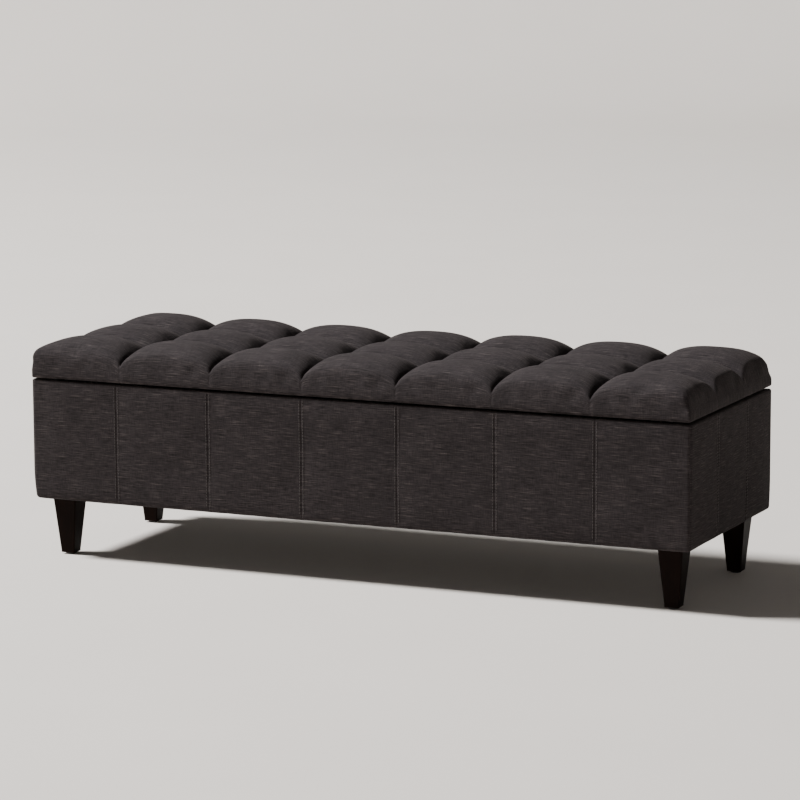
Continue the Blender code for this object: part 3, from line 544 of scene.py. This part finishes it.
# Painted highlight: the arrises, found by their pointiness, are painted paler.
arris = add(tree, "NewGeometry", {}).outputs["Pointiness"]
painted_arris_highlight = add(tree, "MapRange", {"Value": arris, "From Min": 0.52, "From Max": 0.62, "To Max": 0.3})
tone = add(tree, "Mix", {0: painted_arris_highlight, 6: stain, 7: "#20110A"}, data_type="RGBA")
surface(tree, tone, (figure, 0.42, 0.55), (pore, 0.0002, 0.35), {"Specular IOR Level": 0.04})

# Steel, zinc plated and bright: pale grey with a faint crystal mottle and a blue cast.
zinc_steel, tree, place_on = new_material("zinc_plated_steel")
spangle = add(tree, "TexVoronoi", {"Vector": place_on, "Scale": 450.0})
smudge = add(tree, "TexNoise", {"Vector": place_on, "Scale": 90.0, "Detail": 3.0})
tone = add(tree, "Mix", {0: spangle, 6: "#B4B8BC", 7: "#CDD0D2"}, data_type="RGBA")
surface(tree, tone, (smudge, 0.25, 0.45), (smudge, 0.0001, 0.3), {"Metallic": 1.0})

# Polyethylene, moulded black: a dull, slightly waxy surface, scuffed where it slides.
black_polyethylene, tree, place_on = new_material("polyethylene_moulded_black")
scuff = add(tree, "TexNoise", {"Vector": place_on, "Scale": 500.0, "Detail": 4.0})
tone = add(tree, "Mix", {0: scuff, 6: "#121212", 7: "#2C2B2A"}, data_type="RGBA")
surface(tree, tone, (scuff, 0.4, 0.65), (scuff, 0.0001, 0.4), {"IOR": 1.51})

feet = []
for name in ("front_left", "front_right", "back_left", "back_right"):
    low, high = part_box(f"{name}_leg")
    centre = (low + high) / 2
    feet.append(centre)
    bm = soft_block(low, high, LEG_ARRIS, (1, 1, 5))
    for vert in bm.verts:
        share = (vert.co.z - low.z) / (high.z - low.z)
        if share < 0.02:
            vert.co.z = low.z + (vert.co.z - low.z) * FOOT_EASED
            for axis in (0, 1):
                short = (high[axis] - low[axis]) / 2 - abs(vert.co[axis] - centre[axis])
                vert.co[axis] += math.copysign(short * (1 - FOOT_EASED), vert.co[axis] - centre[axis])
        width = LEG_FOOT + (1 - LEG_FOOT) * share
        vert.co.x = centre.x + (vert.co.x - centre.x) * width
        vert.co.y = centre.y + (vert.co.y - centre.y) * width
    for face in bm.faces:  # the four sides stay flat between their eased arrises
        face.smooth = face.calc_area() < 0.0002
    mesh_piece(f"{name}_foot", bm, espresso_wood, "box", [f"{name}_leg"])
    paint(zinc_steel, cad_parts[f"{name}_hanger_bolt"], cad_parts[f"{name}_tnut"])
    paint(black_polyethylene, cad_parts[f"{name}_glide"])


# ----------------------------------------
# Dust cover: the same black spun-bonded cloth under the base, over the turned-under hem, held by a row
# of staples. It hangs down a touch between the frame members.

DUST_SLACK = 0.0022
DUST_STAPLES_IN = 0.009  # from the edge of the cloth
STAPLE_PITCH = 0.055
STAPLE_CROWN = 0.0105
STAPLE_WIRE = 0.00045
STAPLE_PULL = 0.0002  # how far each staple puckers the edge of the cloth
CLEAR_OF_LEG = 0.036  # the cloth is held up this far round the middle of a leg
LOOSENS_OVER = 0.05  # from where it is held, the slack takes this far to grow


def staple_frame(name, body, low, high, inset):
    """A row of staples along each edge of a cloth, set in from the edge. Each lies along its row."""
    bm, under = bmesh.new(), Vector((0, 0, -1))
    corners = [Vector((x, y, low.z)) for x, y in (
        (low.x + inset, low.y + inset), (high.x - inset, low.y + inset),
        (high.x - inset, high.y - inset), (low.x + inset, high.y - inset))]
    for start, end in zip(corners, corners[1:] + corners[:1]):
        along = (end - start).normalized()
        count = round((end - start).length / STAPLE_PITCH)
        for k in range(count):
            middle = start.lerp(end, (k + 0.5) / count) + under * STAPLE_WIRE * 0.4
            half = (along + along.cross(under) * 0.12 * noise.noise(middle * 97)) * STAPLE_CROWN / 2
            lay_stitch(bm, middle - half, middle + half, under, STAPLE_WIRE)
    mesh_piece(name, bm, zinc_steel, body)


def hung_cloth(low, high, slack, held_at=()):
    """A panel of thin cloth stapled up round its edge, which hangs down by its slack in between."""
    lines_i = [low.x + (high.x - low.x) * i / 72 for i in range(73)]
    lines_j = [low.y + (high.y - low.y) * j / 24 for j in range(25)]

    def on_panel(i, j):
        x, y = lines_i[i], lines_j[j]
        room = min(x - low.x, high.x - x, y - low.y, high.y - y)
        free = min(1.0, room / LOOSENS_OVER)
        for spot in held_at:
            away = math.hypot(x - spot.x, y - spot.y) - CLEAR_OF_LEG
            free = min(free, max(0.0, away / LOOSENS_OVER))
        loose = 0.55 + 0.45 * noise.noise(Vector((x * 9, y * 12, low.z * 50)))
        loose += 0.2 * noise.noise(Vector((x * 34, y * 40, 3.0)))
        pull = STAPLE_PULL * math.sin((x + y) * 2 * math.pi / STAPLE_PITCH) * max(0.0, 1 - room / 0.03)
        return Vector((x, y, low.z - slack * free * max(0.0, loose) - pull))

    return cloth_grid(lines_i, lines_j, on_panel)


low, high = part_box("dust_cover")
dust_sheet = mesh_piece("dust_cover_cloth", hung_cloth(low, high, DUST_SLACK, feet), spunbond_black, "box",
                        ["dust_cover"])
staple_frame("dust_cover_staples", "box", low, high, DUST_STAPLES_IN)


# ----------------------------------------
# Lid pad: a foam slab and its cover, one piece of the charcoal cloth. The cloth is folded and caught down
# on a grid into 7 by 3 biscuit tufts, pulled over the edges, pleated at the corners and stapled below.

CRESTS = (0.0525, 0.0535, 0.0565)  # middles of the tufts above the lid board, front row first
END_CREST = 0.0015  # the end tufts stand this much higher
MID_SEAM = 0.0230  # height of the seam halfway along a tuft, and where two seams cross
CROSSING = 0.0075
SHOULDER = 0.0365  # top of the side, beside the middle of a tuft and at a seam
NOTCH = 0.0150
EDGE_ROUND = 0.010
CORNER_PLAN = 0.004  # plan radius of the corners at the foot of the side, and how much more at its top
CORNER_MORE = (0.003, 0.015)  # on the left, and on the right, which was pulled over harder
LEAN = (-0.0015, 0.009)  # how far the left and the right side lean in over their height
LEAN_IN = 0.003  # and how far the front and the back do
LEANS_OVER = 0.034
EDGE_SHARE = 0.05  # width along each edge that leans with its side
SEAM_GROOVE = 0.0012
PUFF_CAP = 0.011  # most that the wadding swells a tuft
SIDE_ROWS = 6

lid_low, lid_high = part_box("lid_cover")
lid_half = (lid_high - lid_low) / 2
lid_middle = (lid_high + lid_low) / 2
board_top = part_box("lid_board")[1].z
side_foot = lid_low.z + 0.003


def tuft_lines(half, count, steps):
    """Grid lines across the tufts, closer together beside each seam and over the rounded edges."""
    pitch = 2 * half / count
    lines = []
    for k in range(1, count):
        seam = -half + pitch * k
        near = [pitch / 2 * (n / steps) ** 1.4 for n in range(steps + 1)]
        if k > 1:
            lines += [seam - step for step in near[1:-1]]
        lines += [seam + step for step in (near if k < count - 1 else near[:1])]
    outer = [EDGE_ROUND * (1 - math.cos(math.pi / 2 * n / 4)) for n in range(5)]
    room = pitch - EDGE_ROUND
    cells = round(steps * 1.7)
    outer += [EDGE_ROUND + room * (1 - (1 - n / cells) ** 1.25) for n in range(1, cells)]
    lines += [-half + step for step in outer] + [half - step for step in outer]
    return sorted(lines)


def up_tuft(place_along, half, count, steep):
    """How far a point is up its tuft, 0 on a seam and 1 in the middle, how far it is out past the middle of
    an end tuft, whose outer side has no seam, and which tuft it is on."""
    pitch = 2 * half / count
    index = min(count - 1, max(0, int((place_along + half) / pitch)))
    across = max(-1.0, min(1.0, (place_along - (-half + (index + 0.5) * pitch)) / (pitch / 2)))
    if (index == 0 and across < 0) or (index == count - 1 and across > 0):
        return 1.0, abs(across), index
    return (1 - abs(across) ** 2.5) ** steep, 0.0, index


def pad_top(x, y):
    """Height of the tufted top above the lid board, before it swells."""
    along, out_x, column = up_tuft(x, lid_half.x, 7, 0.56)
    across, out_y, row = up_tuft(y, lid_half.y, 3, 0.58)
    crest = CRESTS[row] + 0.003 * noise.noise(Vector((column * 1.7 + 0.3, row * 2.3 + 0.6, 0.5)))
    crest += END_CREST * (column in (0, 6))
    top = CROSSING + (MID_SEAM - CROSSING) * (along + across)
    top += (crest - 2 * MID_SEAM + CROSSING) * along * across
    drop_x = (top - NOTCH - (SHOULDER - NOTCH) * across) * out_x ** 2.3
    drop_y = (top - NOTCH - (SHOULDER - NOTCH) * along) * out_y ** 2.3
    top -= (max(0.0, drop_x) ** 4 + max(0.0, drop_y) ** 4) ** (1 / 4)
    near = max(0.0, EDGE_ROUND - min(lid_half.x - abs(x), lid_half.y - abs(y))) / EDGE_ROUND
    beside = along if out_y > out_x else across
    return top - (0.005 + 0.006 * beside) * (1 - math.sqrt(max(0.0, 1 - near * near)))


def round_corner(x, y, radius):
    """Moves a point near a corner of the lid so that the corner gets this radius in plan."""
    u = radius - (lid_half.x - abs(x))
    v = radius - (lid_half.y - abs(y))
    if u <= 0 or v <= 0:
        return x, y
    shrink = max(u, v) / math.hypot(u, v)
    return (math.copysign(lid_half.x - radius + u * shrink, x),
            math.copysign(lid_half.y - radius + v * shrink, y))


def nearest(lines, spot):
    return min(range(len(lines)), key=lambda i: abs(lines[i] - spot))


lines_x, lines_y = tuft_lines(lid_half.x, 7, 11), tuft_lines(lid_half.y, 3, 9)
last_x, last_y = len(lines_x) - 1, len(lines_y) - 1
seam_x = {nearest(lines_x, lid_half.x * (2 * k / 7 - 1)) for k in range(1, 7)}
seam_y = {nearest(lines_y, lid_half.y * (2 * k / 3 - 1)) for k in (1, 2)}


def pad_point(i, j):
    """A point of the cover before it swells. Past the last grid line, the cloth runs down the side."""
    below = max(0, -i, -j, i - last_x, j - last_y)
    x, y = lines_x[min(max(i, 0), last_x)], lines_y[min(max(j, 0), last_y)]
    top = pad_top(x, y)
    share = 1 - below / SIDE_ROWS
    height = side_foot - board_top + (top - side_foot + board_top) * share
    level = held(height / 0.045)
    smooth = level * level * (3 - 2 * level)
    lean = held(height / LEANS_OVER)
    plan_x, plan_y = round_corner(x, y, CORNER_PLAN + CORNER_MORE[x > 0] * smooth)
    near_x = max(0.0, 1 - (lid_half.x - abs(x)) / EDGE_SHARE)
    near_y = max(0.0, 1 - (lid_half.y - abs(y)) / EDGE_SHARE)
    groove = SEAM_GROOVE * min(1.0, 1.5 * share) if below else 0.0
    plan_x -= math.copysign(LEAN[x > 0] * lean * near_x
                            + groove * (j in seam_y and not 0 <= i <= last_x), x)
    plan_y -= math.copysign(LEAN_IN * lean * near_y + groove * (i in seam_x and not 0 <= j <= last_y), y)
    return Vector((lid_middle.x + plan_x, lid_middle.y + plan_y, board_top + height))


def ran_length(points):
    """Distance run along a row of points, from its middle."""
    runs = [0.0]
    for a, b in zip(points, points[1:]):
        runs.append(runs[-1] + (b - a).length)
    return [run - runs[-1] / 2 for run in runs]


bm = bmesh.new()
uv = bm.loops.layers.uv.new("cloth")
middle_row, middle_column = nearest(lines_y, 0.0), nearest(lines_x, 0.0)
cloth_u = ran_length([pad_point(i, middle_row) for i in range(-SIDE_ROWS, last_x + SIDE_ROWS + 1)])
cloth_v = ran_length([pad_point(middle_column, j) for j in range(-SIDE_ROWS, last_y + SIDE_ROWS + 1)])
known = {}


def pad_vert(i, j):
    if j in (0, last_y) and not 0 <= i <= last_x:  # both sides meet in the corner pleat
        fold = -i if i < 0 else i - last_x
        i, j = min(max(i, 0), last_x), (-fold if j == 0 else last_y + fold)
    if (i, j) not in known:
        known[i, j] = bm.verts.new(pad_point(i, j))
    return known[i, j]


for j in range(-SIDE_ROWS, last_y + SIDE_ROWS):
    for i in range(-SIDE_ROWS, last_x + SIDE_ROWS):
        if not (0 <= i < last_x or 0 <= j < last_y):
            continue
        spots = ((i, j), (i + 1, j), (i + 1, j + 1), (i, j + 1))
        face = bm.faces.new([pad_vert(*spot) for spot in spots])
        face.smooth = True
        for loop, (a, b) in zip(face.loops, spots):
            loop[uv].uv = (cloth_u[a + SIDE_ROWS], cloth_v[b + SIDE_ROWS])
bm.verts.index_update()
where = {vert.index: spot for spot, vert in known.items()}
lid_cloth = mesh_piece("lid_cloth", bm, charcoal_linen, "lid", ["lid_cover"])

sewn_down = lid_cloth.vertex_groups.new(name="held")
for index, (i, j) in where.items():
    below = max(0, -i, -j, i - last_x, j - last_y)
    if i in seam_x or j in seam_y or below > SIDE_ROWS - 3:
        sewn_down.add([index], 1.0, "REPLACE")
before = [vert.co.copy() for vert in lid_cloth.data.vertices]
swelling = lid_cloth.modifiers.new("swelling", "CLOTH")
settings = swelling.settings
settings.quality = 6
settings.mass = 0.3
settings.tension_stiffness = settings.compression_stiffness = 18
settings.shear_stiffness = 6
settings.bending_stiffness = 1.5
settings.air_damping = 2
settings.vertex_group_mass = "held"
settings.use_pressure = True
settings.uniform_pressure_force = 4
settings.shrink_min = -0.015
settings.effector_weights.gravity = 0
for frame_number in range(1, 21):
    bpy.context.scene.frame_set(frame_number)
posed = lid_cloth.evaluated_get(bpy.context.evaluated_depsgraph_get())
after = [vert.co.copy() for vert in posed.data.vertices]
lid_cloth.modifiers.remove(swelling)
bpy.context.scene.frame_set(1)
puffs = [b - a for a, b in zip(before, after)]
beside = [[] for _ in puffs]
for edge_line in lid_cloth.data.edges:
    a, b = edge_line.vertices
    beside[a].append(b)
    beside[b].append(a)
for _ in range(2):  # the wadding on top of the foam keeps the cloth free of creases
    means = [sum((puffs[n] for n in near), Vector()) / len(near) for near in beside]
    puffs = [puff if puff.length < 1e-6 else puff * 0.5 + mean * 0.5
             for puff, mean in zip(puffs, means)]
for start, puff, vert in zip(before, puffs, lid_cloth.data.vertices):
    vert.co = start + puff * min(1.0, PUFF_CAP / max(puff.length, 1e-6))

# The foam is the same shape a little smaller, flat where it is glued to the board.
FOAM_INSET = 0.008
FOAM_LEAST = 0.003  # thickness of the foam under the deepest tufting
FOAM_CORNER = (0.030, 0.013)  # its corners are rounded from this far in, to this radius

# Polyurethane foam, cut: cream, yellowing, full of fine open cells.
cut_foam, tree, place_on = new_material("polyurethane_foam_cut")
foam_cells = add(tree, "TexVoronoi", {"Vector": place_on, "Scale": 900.0})
aged = add(tree, "TexNoise", {"Vector": place_on, "Scale": 12.0})
tone = add(tree, "Mix", {0: aged, 6: "#D8C79C", 7: "#EBDFBE"}, data_type="RGBA")
surface(tree, tone, (foam_cells, 0.8, 1.0), (foam_cells, 0.0006, 0.7))

bm = bmesh.new()
bm.from_mesh(lid_cloth.data)
bm.normal_update()
foam_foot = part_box("lid_foam")[0].z
inward = [(vert, vert.normal * FOAM_INSET) for vert in bm.verts]
for vert, step in inward:
    vert.co -= step
    i, j = where[vert.index]
    if 0 <= i <= last_x and 0 <= j <= last_y:  # the tufting stops short of the board
        vert.co.z = max(vert.co.z, foam_foot + FOAM_LEAST)
    u = abs(vert.co.x - lid_middle.x) - (lid_half.x - FOAM_CORNER[0])
    v = abs(vert.co.y - lid_middle.y) - (lid_half.y - FOAM_CORNER[0])
    if u > 0 and v > 0 and math.hypot(u, v) > FOAM_CORNER[1]:
        back = 1 - FOAM_CORNER[1] / math.hypot(u, v)
        vert.co.x -= math.copysign(u * back, vert.co.x - lid_middle.x)
        vert.co.y -= math.copysign(v * back, vert.co.y - lid_middle.y)
cut = bm.verts[:] + bm.edges[:] + bm.faces[:]
bmesh.ops.bisect_plane(bm, geom=cut, plane_co=(0, 0, foam_foot), plane_no=(0, 0, 1), clear_inner=True)
bmesh.ops.edgeloop_fill(bm, edges=[e for e in bm.edges if e.is_boundary])
foam_slab = mesh_piece("lid_foam_slab", bm, cut_foam, "lid", ["lid_foam"])

# Under the edge, the cloth rounds the foot, runs in as a hem and ends in a doubled edge. At the front left
# corner, its folds hang a little lower.
CORNER_FOLD = 0.0006

bm = bmesh.new()
bm.from_mesh(lid_cloth.data)
crease = bm.edges.layers.float.new("crease_edge")
highlight_share = bm.verts.layers.float.new("painted_edge_highlight")
# Painted highlight: the side of the cover is painted paler on the lips beside each seam.
for vert in bm.verts:
    i, j = where[vert.index]
    vert[highlight_share] = 0.5 * ((not 0 <= j <= last_y and any(abs(i - k) == 1 for k in seam_x))
                                or (not 0 <= i <= last_x and any(abs(j - k) == 1 for k in seam_y)))
for edge_line in bm.edges:
    spots = [where[vert.index] for vert in edge_line.verts]
    if any(spots[0][axis] == spots[1][axis] and spots[0][axis] in lines
           for axis, lines in ((0, seam_x), (1, seam_y))):
        edge_line[crease] = 0.9
for inset, z in ((0.0006, lid_low.z + 0.0002), (0.003, lid_low.z - 0.0015), (0.008, lid_low.z - 0.0012),
                 (0.014, lid_low.z), (0.025, lid_low.z), (0.025, lid_low.z + CLOTH_EDGE)):
    rim_edges = [e for e in bm.edges if e.is_boundary]
    made = bmesh.ops.extrude_edge_only(bm, edges=rim_edges)["geom"]
    for vert in (item for item in made if isinstance(item, bmesh.types.BMVert)):
        x, y = vert.co.x - lid_middle.x, vert.co.y - lid_middle.y
        x = math.copysign(min(abs(x), lid_half.x - inset), x)
        y = math.copysign(min(abs(y), lid_half.y - inset), y)
        fold = math.exp(-((x + lid_half.x) ** 2 + (y + lid_half.y) ** 2) / BUNCH_SPREAD ** 2)
        vert.co = Vector((lid_middle.x + x, lid_middle.y + y, z - CORNER_FOLD * fold * (inset < 0.02)))
    for face in bm.faces:
        face.smooth = True
bmesh.ops.remove_doubles(bm, verts=[v for v in bm.verts if v.co.z < side_foot - 0.001], dist=1e-6)
bm.to_mesh(lid_cloth.data)
bm.free()
finer = lid_cloth.modifiers.new("finer", "SUBSURF")
finer.levels = finer.render_levels = 1


# Under the lid: the lining that hides the hem's staples, and two rubber bumpers that meet the front rim.
# The lining is the black spun-bonded cloth, folded in at its edges and stapled.

UNDER_SLACK = 0.0008
UNDER_STAPLES_IN = 0.006

low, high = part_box("lid_lining")
under_sheet = mesh_piece("lid_lining_cloth", hung_cloth(low, high, UNDER_SLACK), spunbond_black, "lid",
                         ["lid_lining"])
staple_frame("lid_lining_staples", "lid", low, high, UNDER_STAPLES_IN)

# Rubber, moulded black: matt, dusty, with a fine grey bloom.
black_rubber, tree, place_on = new_material("rubber_moulded_black")
bloom = add(tree, "TexNoise", {"Vector": place_on, "Scale": 260.0, "Detail": 4.0})
tone = add(tree, "Mix", {0: bloom, 6: "#141414", 7: "#353433"}, data_type="RGBA")
surface(tree, tone, (bloom, 0.7, 0.95), (bloom, 0.0001, 0.4), {"IOR": 1.52})
paint(black_rubber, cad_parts["left_bumper"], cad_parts["right_bumper"])


# ----------------------------------------
# Hinges: three pressed butt hinges of zinc-plated steel on the back rim, with three countersunk
# cross-head screws in each leaf.

SCREW_HEAD = 0.0030  # radius of the head, and how far it stands out
HEAD_PROUD = 0.00025
HEAD_SUNK = 0.0006
RECESS = 0.00065  # how deep the cross goes
LEAF_INNER = {"lower": 0.3325, "upper": 0.3345}  # heights of the leaves' faces that carry the heads
SCREW_PITCH = 0.021
SCREWS_IN = 0.009  # from the leaf's front edge


def screw_head(bm, at, out, radius=SCREW_HEAD):
    """A countersunk screw head with a cross recess, seen from outside."""
    out = out.normalized()
    beside = out.orthogonal().normalized()
    ahead = out.cross(beside)
    arm_width, arm_length = radius * 0.16, radius * 0.62
    narrow = math.atan2(arm_width, arm_length)
    turns = [quarter * math.pi / 2 + step for quarter in range(4)
             for step in (-narrow, 0.0, narrow, math.pi / 4)]

    def cross_reach(turn):
        off = abs((turn + math.pi / 4) % (math.pi / 2) - math.pi / 4)
        return arm_length / math.cos(off) if off <= narrow + 1e-6 else arm_width / math.sin(off)

    rings = []
    for reach, height in ((1.0, -HEAD_SUNK), (1.0, 0.3 * HEAD_PROUD), (0.94, 0.8 * HEAD_PROUD),
                          (0.80, HEAD_PROUD), (0.0, HEAD_PROUD), (0.0, -RECESS)):
        ring = []
        for turn in turns:
            span = radius * reach if reach else cross_reach(turn) * (1.0 if height > 0 else 0.55)
            spot = at + beside * math.cos(turn) * span + ahead * math.sin(turn) * span + out * height
            ring.append(bm.verts.new(spot))
        rings.append(ring)
    join_rings(bm, rings, smooth=False)
    bm.faces.new(rings[-1])
    bm.faces.new(rings[0][::-1])


hinge_screws = {"box": bmesh.new(), "lid": bmesh.new()}
for name in ("left", "centre", "right"):
    for leaf, body, out in (("lower", "box", 1), ("upper", "lid", -1)):
        node = f"{name}_hinge_{leaf}_leaf"
        paint(zinc_steel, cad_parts[node])
        low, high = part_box(node)
        for step in (-SCREW_PITCH, 0.0, SCREW_PITCH):
            spot = Vector(((low.x + high.x) / 2 + step, low.y + SCREWS_IN, LEAF_INNER[leaf]))
            screw_head(hinge_screws[body], spot, Vector((0, 0, out)))
    paint(zinc_steel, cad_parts[f"{name}_hinge_pin"])
for body, bm in hinge_screws.items():
    mesh_piece(f"{body}_hinge_screws", bm, zinc_steel, body)


# ----------------------------------------
# Lid stays: on each end wall, a pressed arm hung from a bracket under the lid slides on a stud. They are
# black-passivated steel, held by cross-head screws.

# Steel, black zinc plated: charcoal with a faint oily shine, paler where the parts rub.
black_steel, tree, place_on = new_material("black_zinc_plated_steel")
oily = add(tree, "TexNoise", {"Vector": place_on, "Scale": 120.0, "Detail": 4.0})
rolled = add(tree, "Mapping", {"Vector": place_on, "Scale": (2500, 2500, 90)})
rolling = add(tree, "TexNoise", {"Vector": rolled, "Scale": 1.0, "Detail": 2.0})
tone = add(tree, "Mix", {0: oily, 6: "#26262A", 7: "#4A4A4E"}, data_type="RGBA")
surface(tree, tone, (oily, 0.32, 0.5), (rolling, 0.00008, 0.4), {"Metallic": 1.0})

STAY_HEAD = 0.0025
STAY_PLATE = 0.0020  # thickness of the base plate and of the bracket's flange
BASE_SCREWS = 0.0125  # from the middle of the base plate
BRACKET_SCREWS = 0.009

stay_screws = {"box": bmesh.new(), "lid": bmesh.new()}
for name, inner in (("left", 1), ("right", -1)):
    for part in ("base", "arm", "bracket", "rivet"):
        paint(black_steel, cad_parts[f"{name}_stay_{part}"])
    low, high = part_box(f"{name}_stay_base")
    plate_face = (low.x if inner > 0 else high.x) + inner * STAY_PLATE
    for up, along in ((-1, -1), (-1, 1), (1, 1)):
        spot = Vector((plate_face, (low.y + high.y) / 2 + along * BASE_SCREWS,
                       (low.z + high.z) / 2 + up * BASE_SCREWS))
        screw_head(stay_screws["box"], spot, Vector((inner, 0, 0)), STAY_HEAD)
    low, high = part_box(f"{name}_stay_bracket")
    flange_middle = (low.x + high.x) / 2 + inner * 0.0025
    for step in (-BRACKET_SCREWS, BRACKET_SCREWS):
        spot = Vector((flange_middle, (low.y + high.y) / 2 + step, high.z - STAY_PLATE))
        screw_head(stay_screws["lid"], spot, Vector((0, 0, -1)), STAY_HEAD)
for body, bm in stay_screws.items():
    mesh_piece(f"{body}_stay_screws", bm, black_steel, body)


# ----------------------------------------
# Camera, floor and light: a plain pale paper floor that curves up all round, one soft light high on the
# left and a little to the front, so that each tuft's right flank falls into shade, and a little light from
# all round.

SWEEP_REACH = 9.0  # how far the flat floor runs, and the radius of the curve round it
SWEEP_ROUND = 2.2

# Background paper, matt, a pale warm grey with hardly any mottle. It is clear from below, so that the
# underside of the bench can be looked at.
pale_paper, tree, place_on = new_material("pale_background_paper")
fibre = add(tree, "TexNoise", {"Vector": place_on, "Scale": 3.0})
tone = add(tree, "Mix", {0: fibre, 6: "#C6C0BA", 7: "#CAC4BE"}, data_type="RGBA")
paper_dull = add(tree, "MapRange", {"Value": fibre, "To Min": 0.8, "To Max": 0.95})
paper = add(tree, "BsdfPrincipled", {"Base Color": tone, "Roughness": paper_dull})
from_below = add(tree, "NewGeometry", {}).outputs["Backfacing"]
clear = add(tree, "BsdfTransparent", {})
one_sided = add(tree, "MixShader", {0: from_below, 1: paper, 2: clear})
add(tree, "OutputMaterial", {"Surface": one_sided})

sweep_line = [(reach, 0.0) for reach in (0.5, 2.0, 4.0, 6.5, SWEEP_REACH)]
sweep_line += [(SWEEP_REACH + SWEEP_ROUND * math.sin(math.pi / 2 * k / 12),
                SWEEP_ROUND - SWEEP_ROUND * math.cos(math.pi / 2 * k / 12)) for k in range(1, 13)]
bm = bmesh.new()
rings = [[bm.verts.new((reach * math.cos(math.pi * k / 48), reach * math.sin(math.pi * k / 48), z))
          for k in range(96)] for reach, z in sweep_line]
bm.faces.new(rings[0])
join_rings(bm, rings[::-1])
mesh_object("paper_sweep", bm, pale_paper)

world = bpy.data.worlds.new("studio")
world.use_nodes = True
backdrop = world.node_tree.nodes["Background"]
backdrop.inputs["Color"].default_value = linear("#F4F0EC")
backdrop.inputs["Strength"].default_value = 0.115
bpy.context.scene.world = world

key_data = bpy.data.lights.new("key", "AREA")
key_data.shape = "DISK"
key_data.size = 4.0
key_data.energy = 10200
key_light = new_object("key", key_data)
key_light.location = (-11.6, -3.1, 13.6)
key_light.rotation_euler = (Vector((0, 0, 0.25)) - key_light.location).to_track_quat("-Z", "Y").to_euler()

CAMERA_PLACE = (2.729, -6.035, 1.398)
CAMERA_AZIMUTH = 24.315  # degrees
CAMERA_LOOKS_DOWN = 9.402
CAMERA_ROLL = -0.247
turned, down = math.radians(-CAMERA_AZIMUTH), math.radians(CAMERA_LOOKS_DOWN)
forward = Vector((math.sin(turned) * math.cos(down), math.cos(turned) * math.cos(down), -math.sin(down)))
right = Vector((math.cos(turned), -math.sin(turned), 0))
basis = Matrix((right, right.cross(forward), -forward)).transposed().to_4x4()
camera_data = bpy.data.cameras.new("camera")
camera_data.lens = 165.744
camera_data.sensor_width = 36
camera = new_object("camera", camera_data)
camera.matrix_world = (Matrix.Translation(CAMERA_PLACE) @ basis
                       @ Matrix.Rotation(math.radians(CAMERA_ROLL), 4, "Z"))
bpy.context.scene.camera = camera
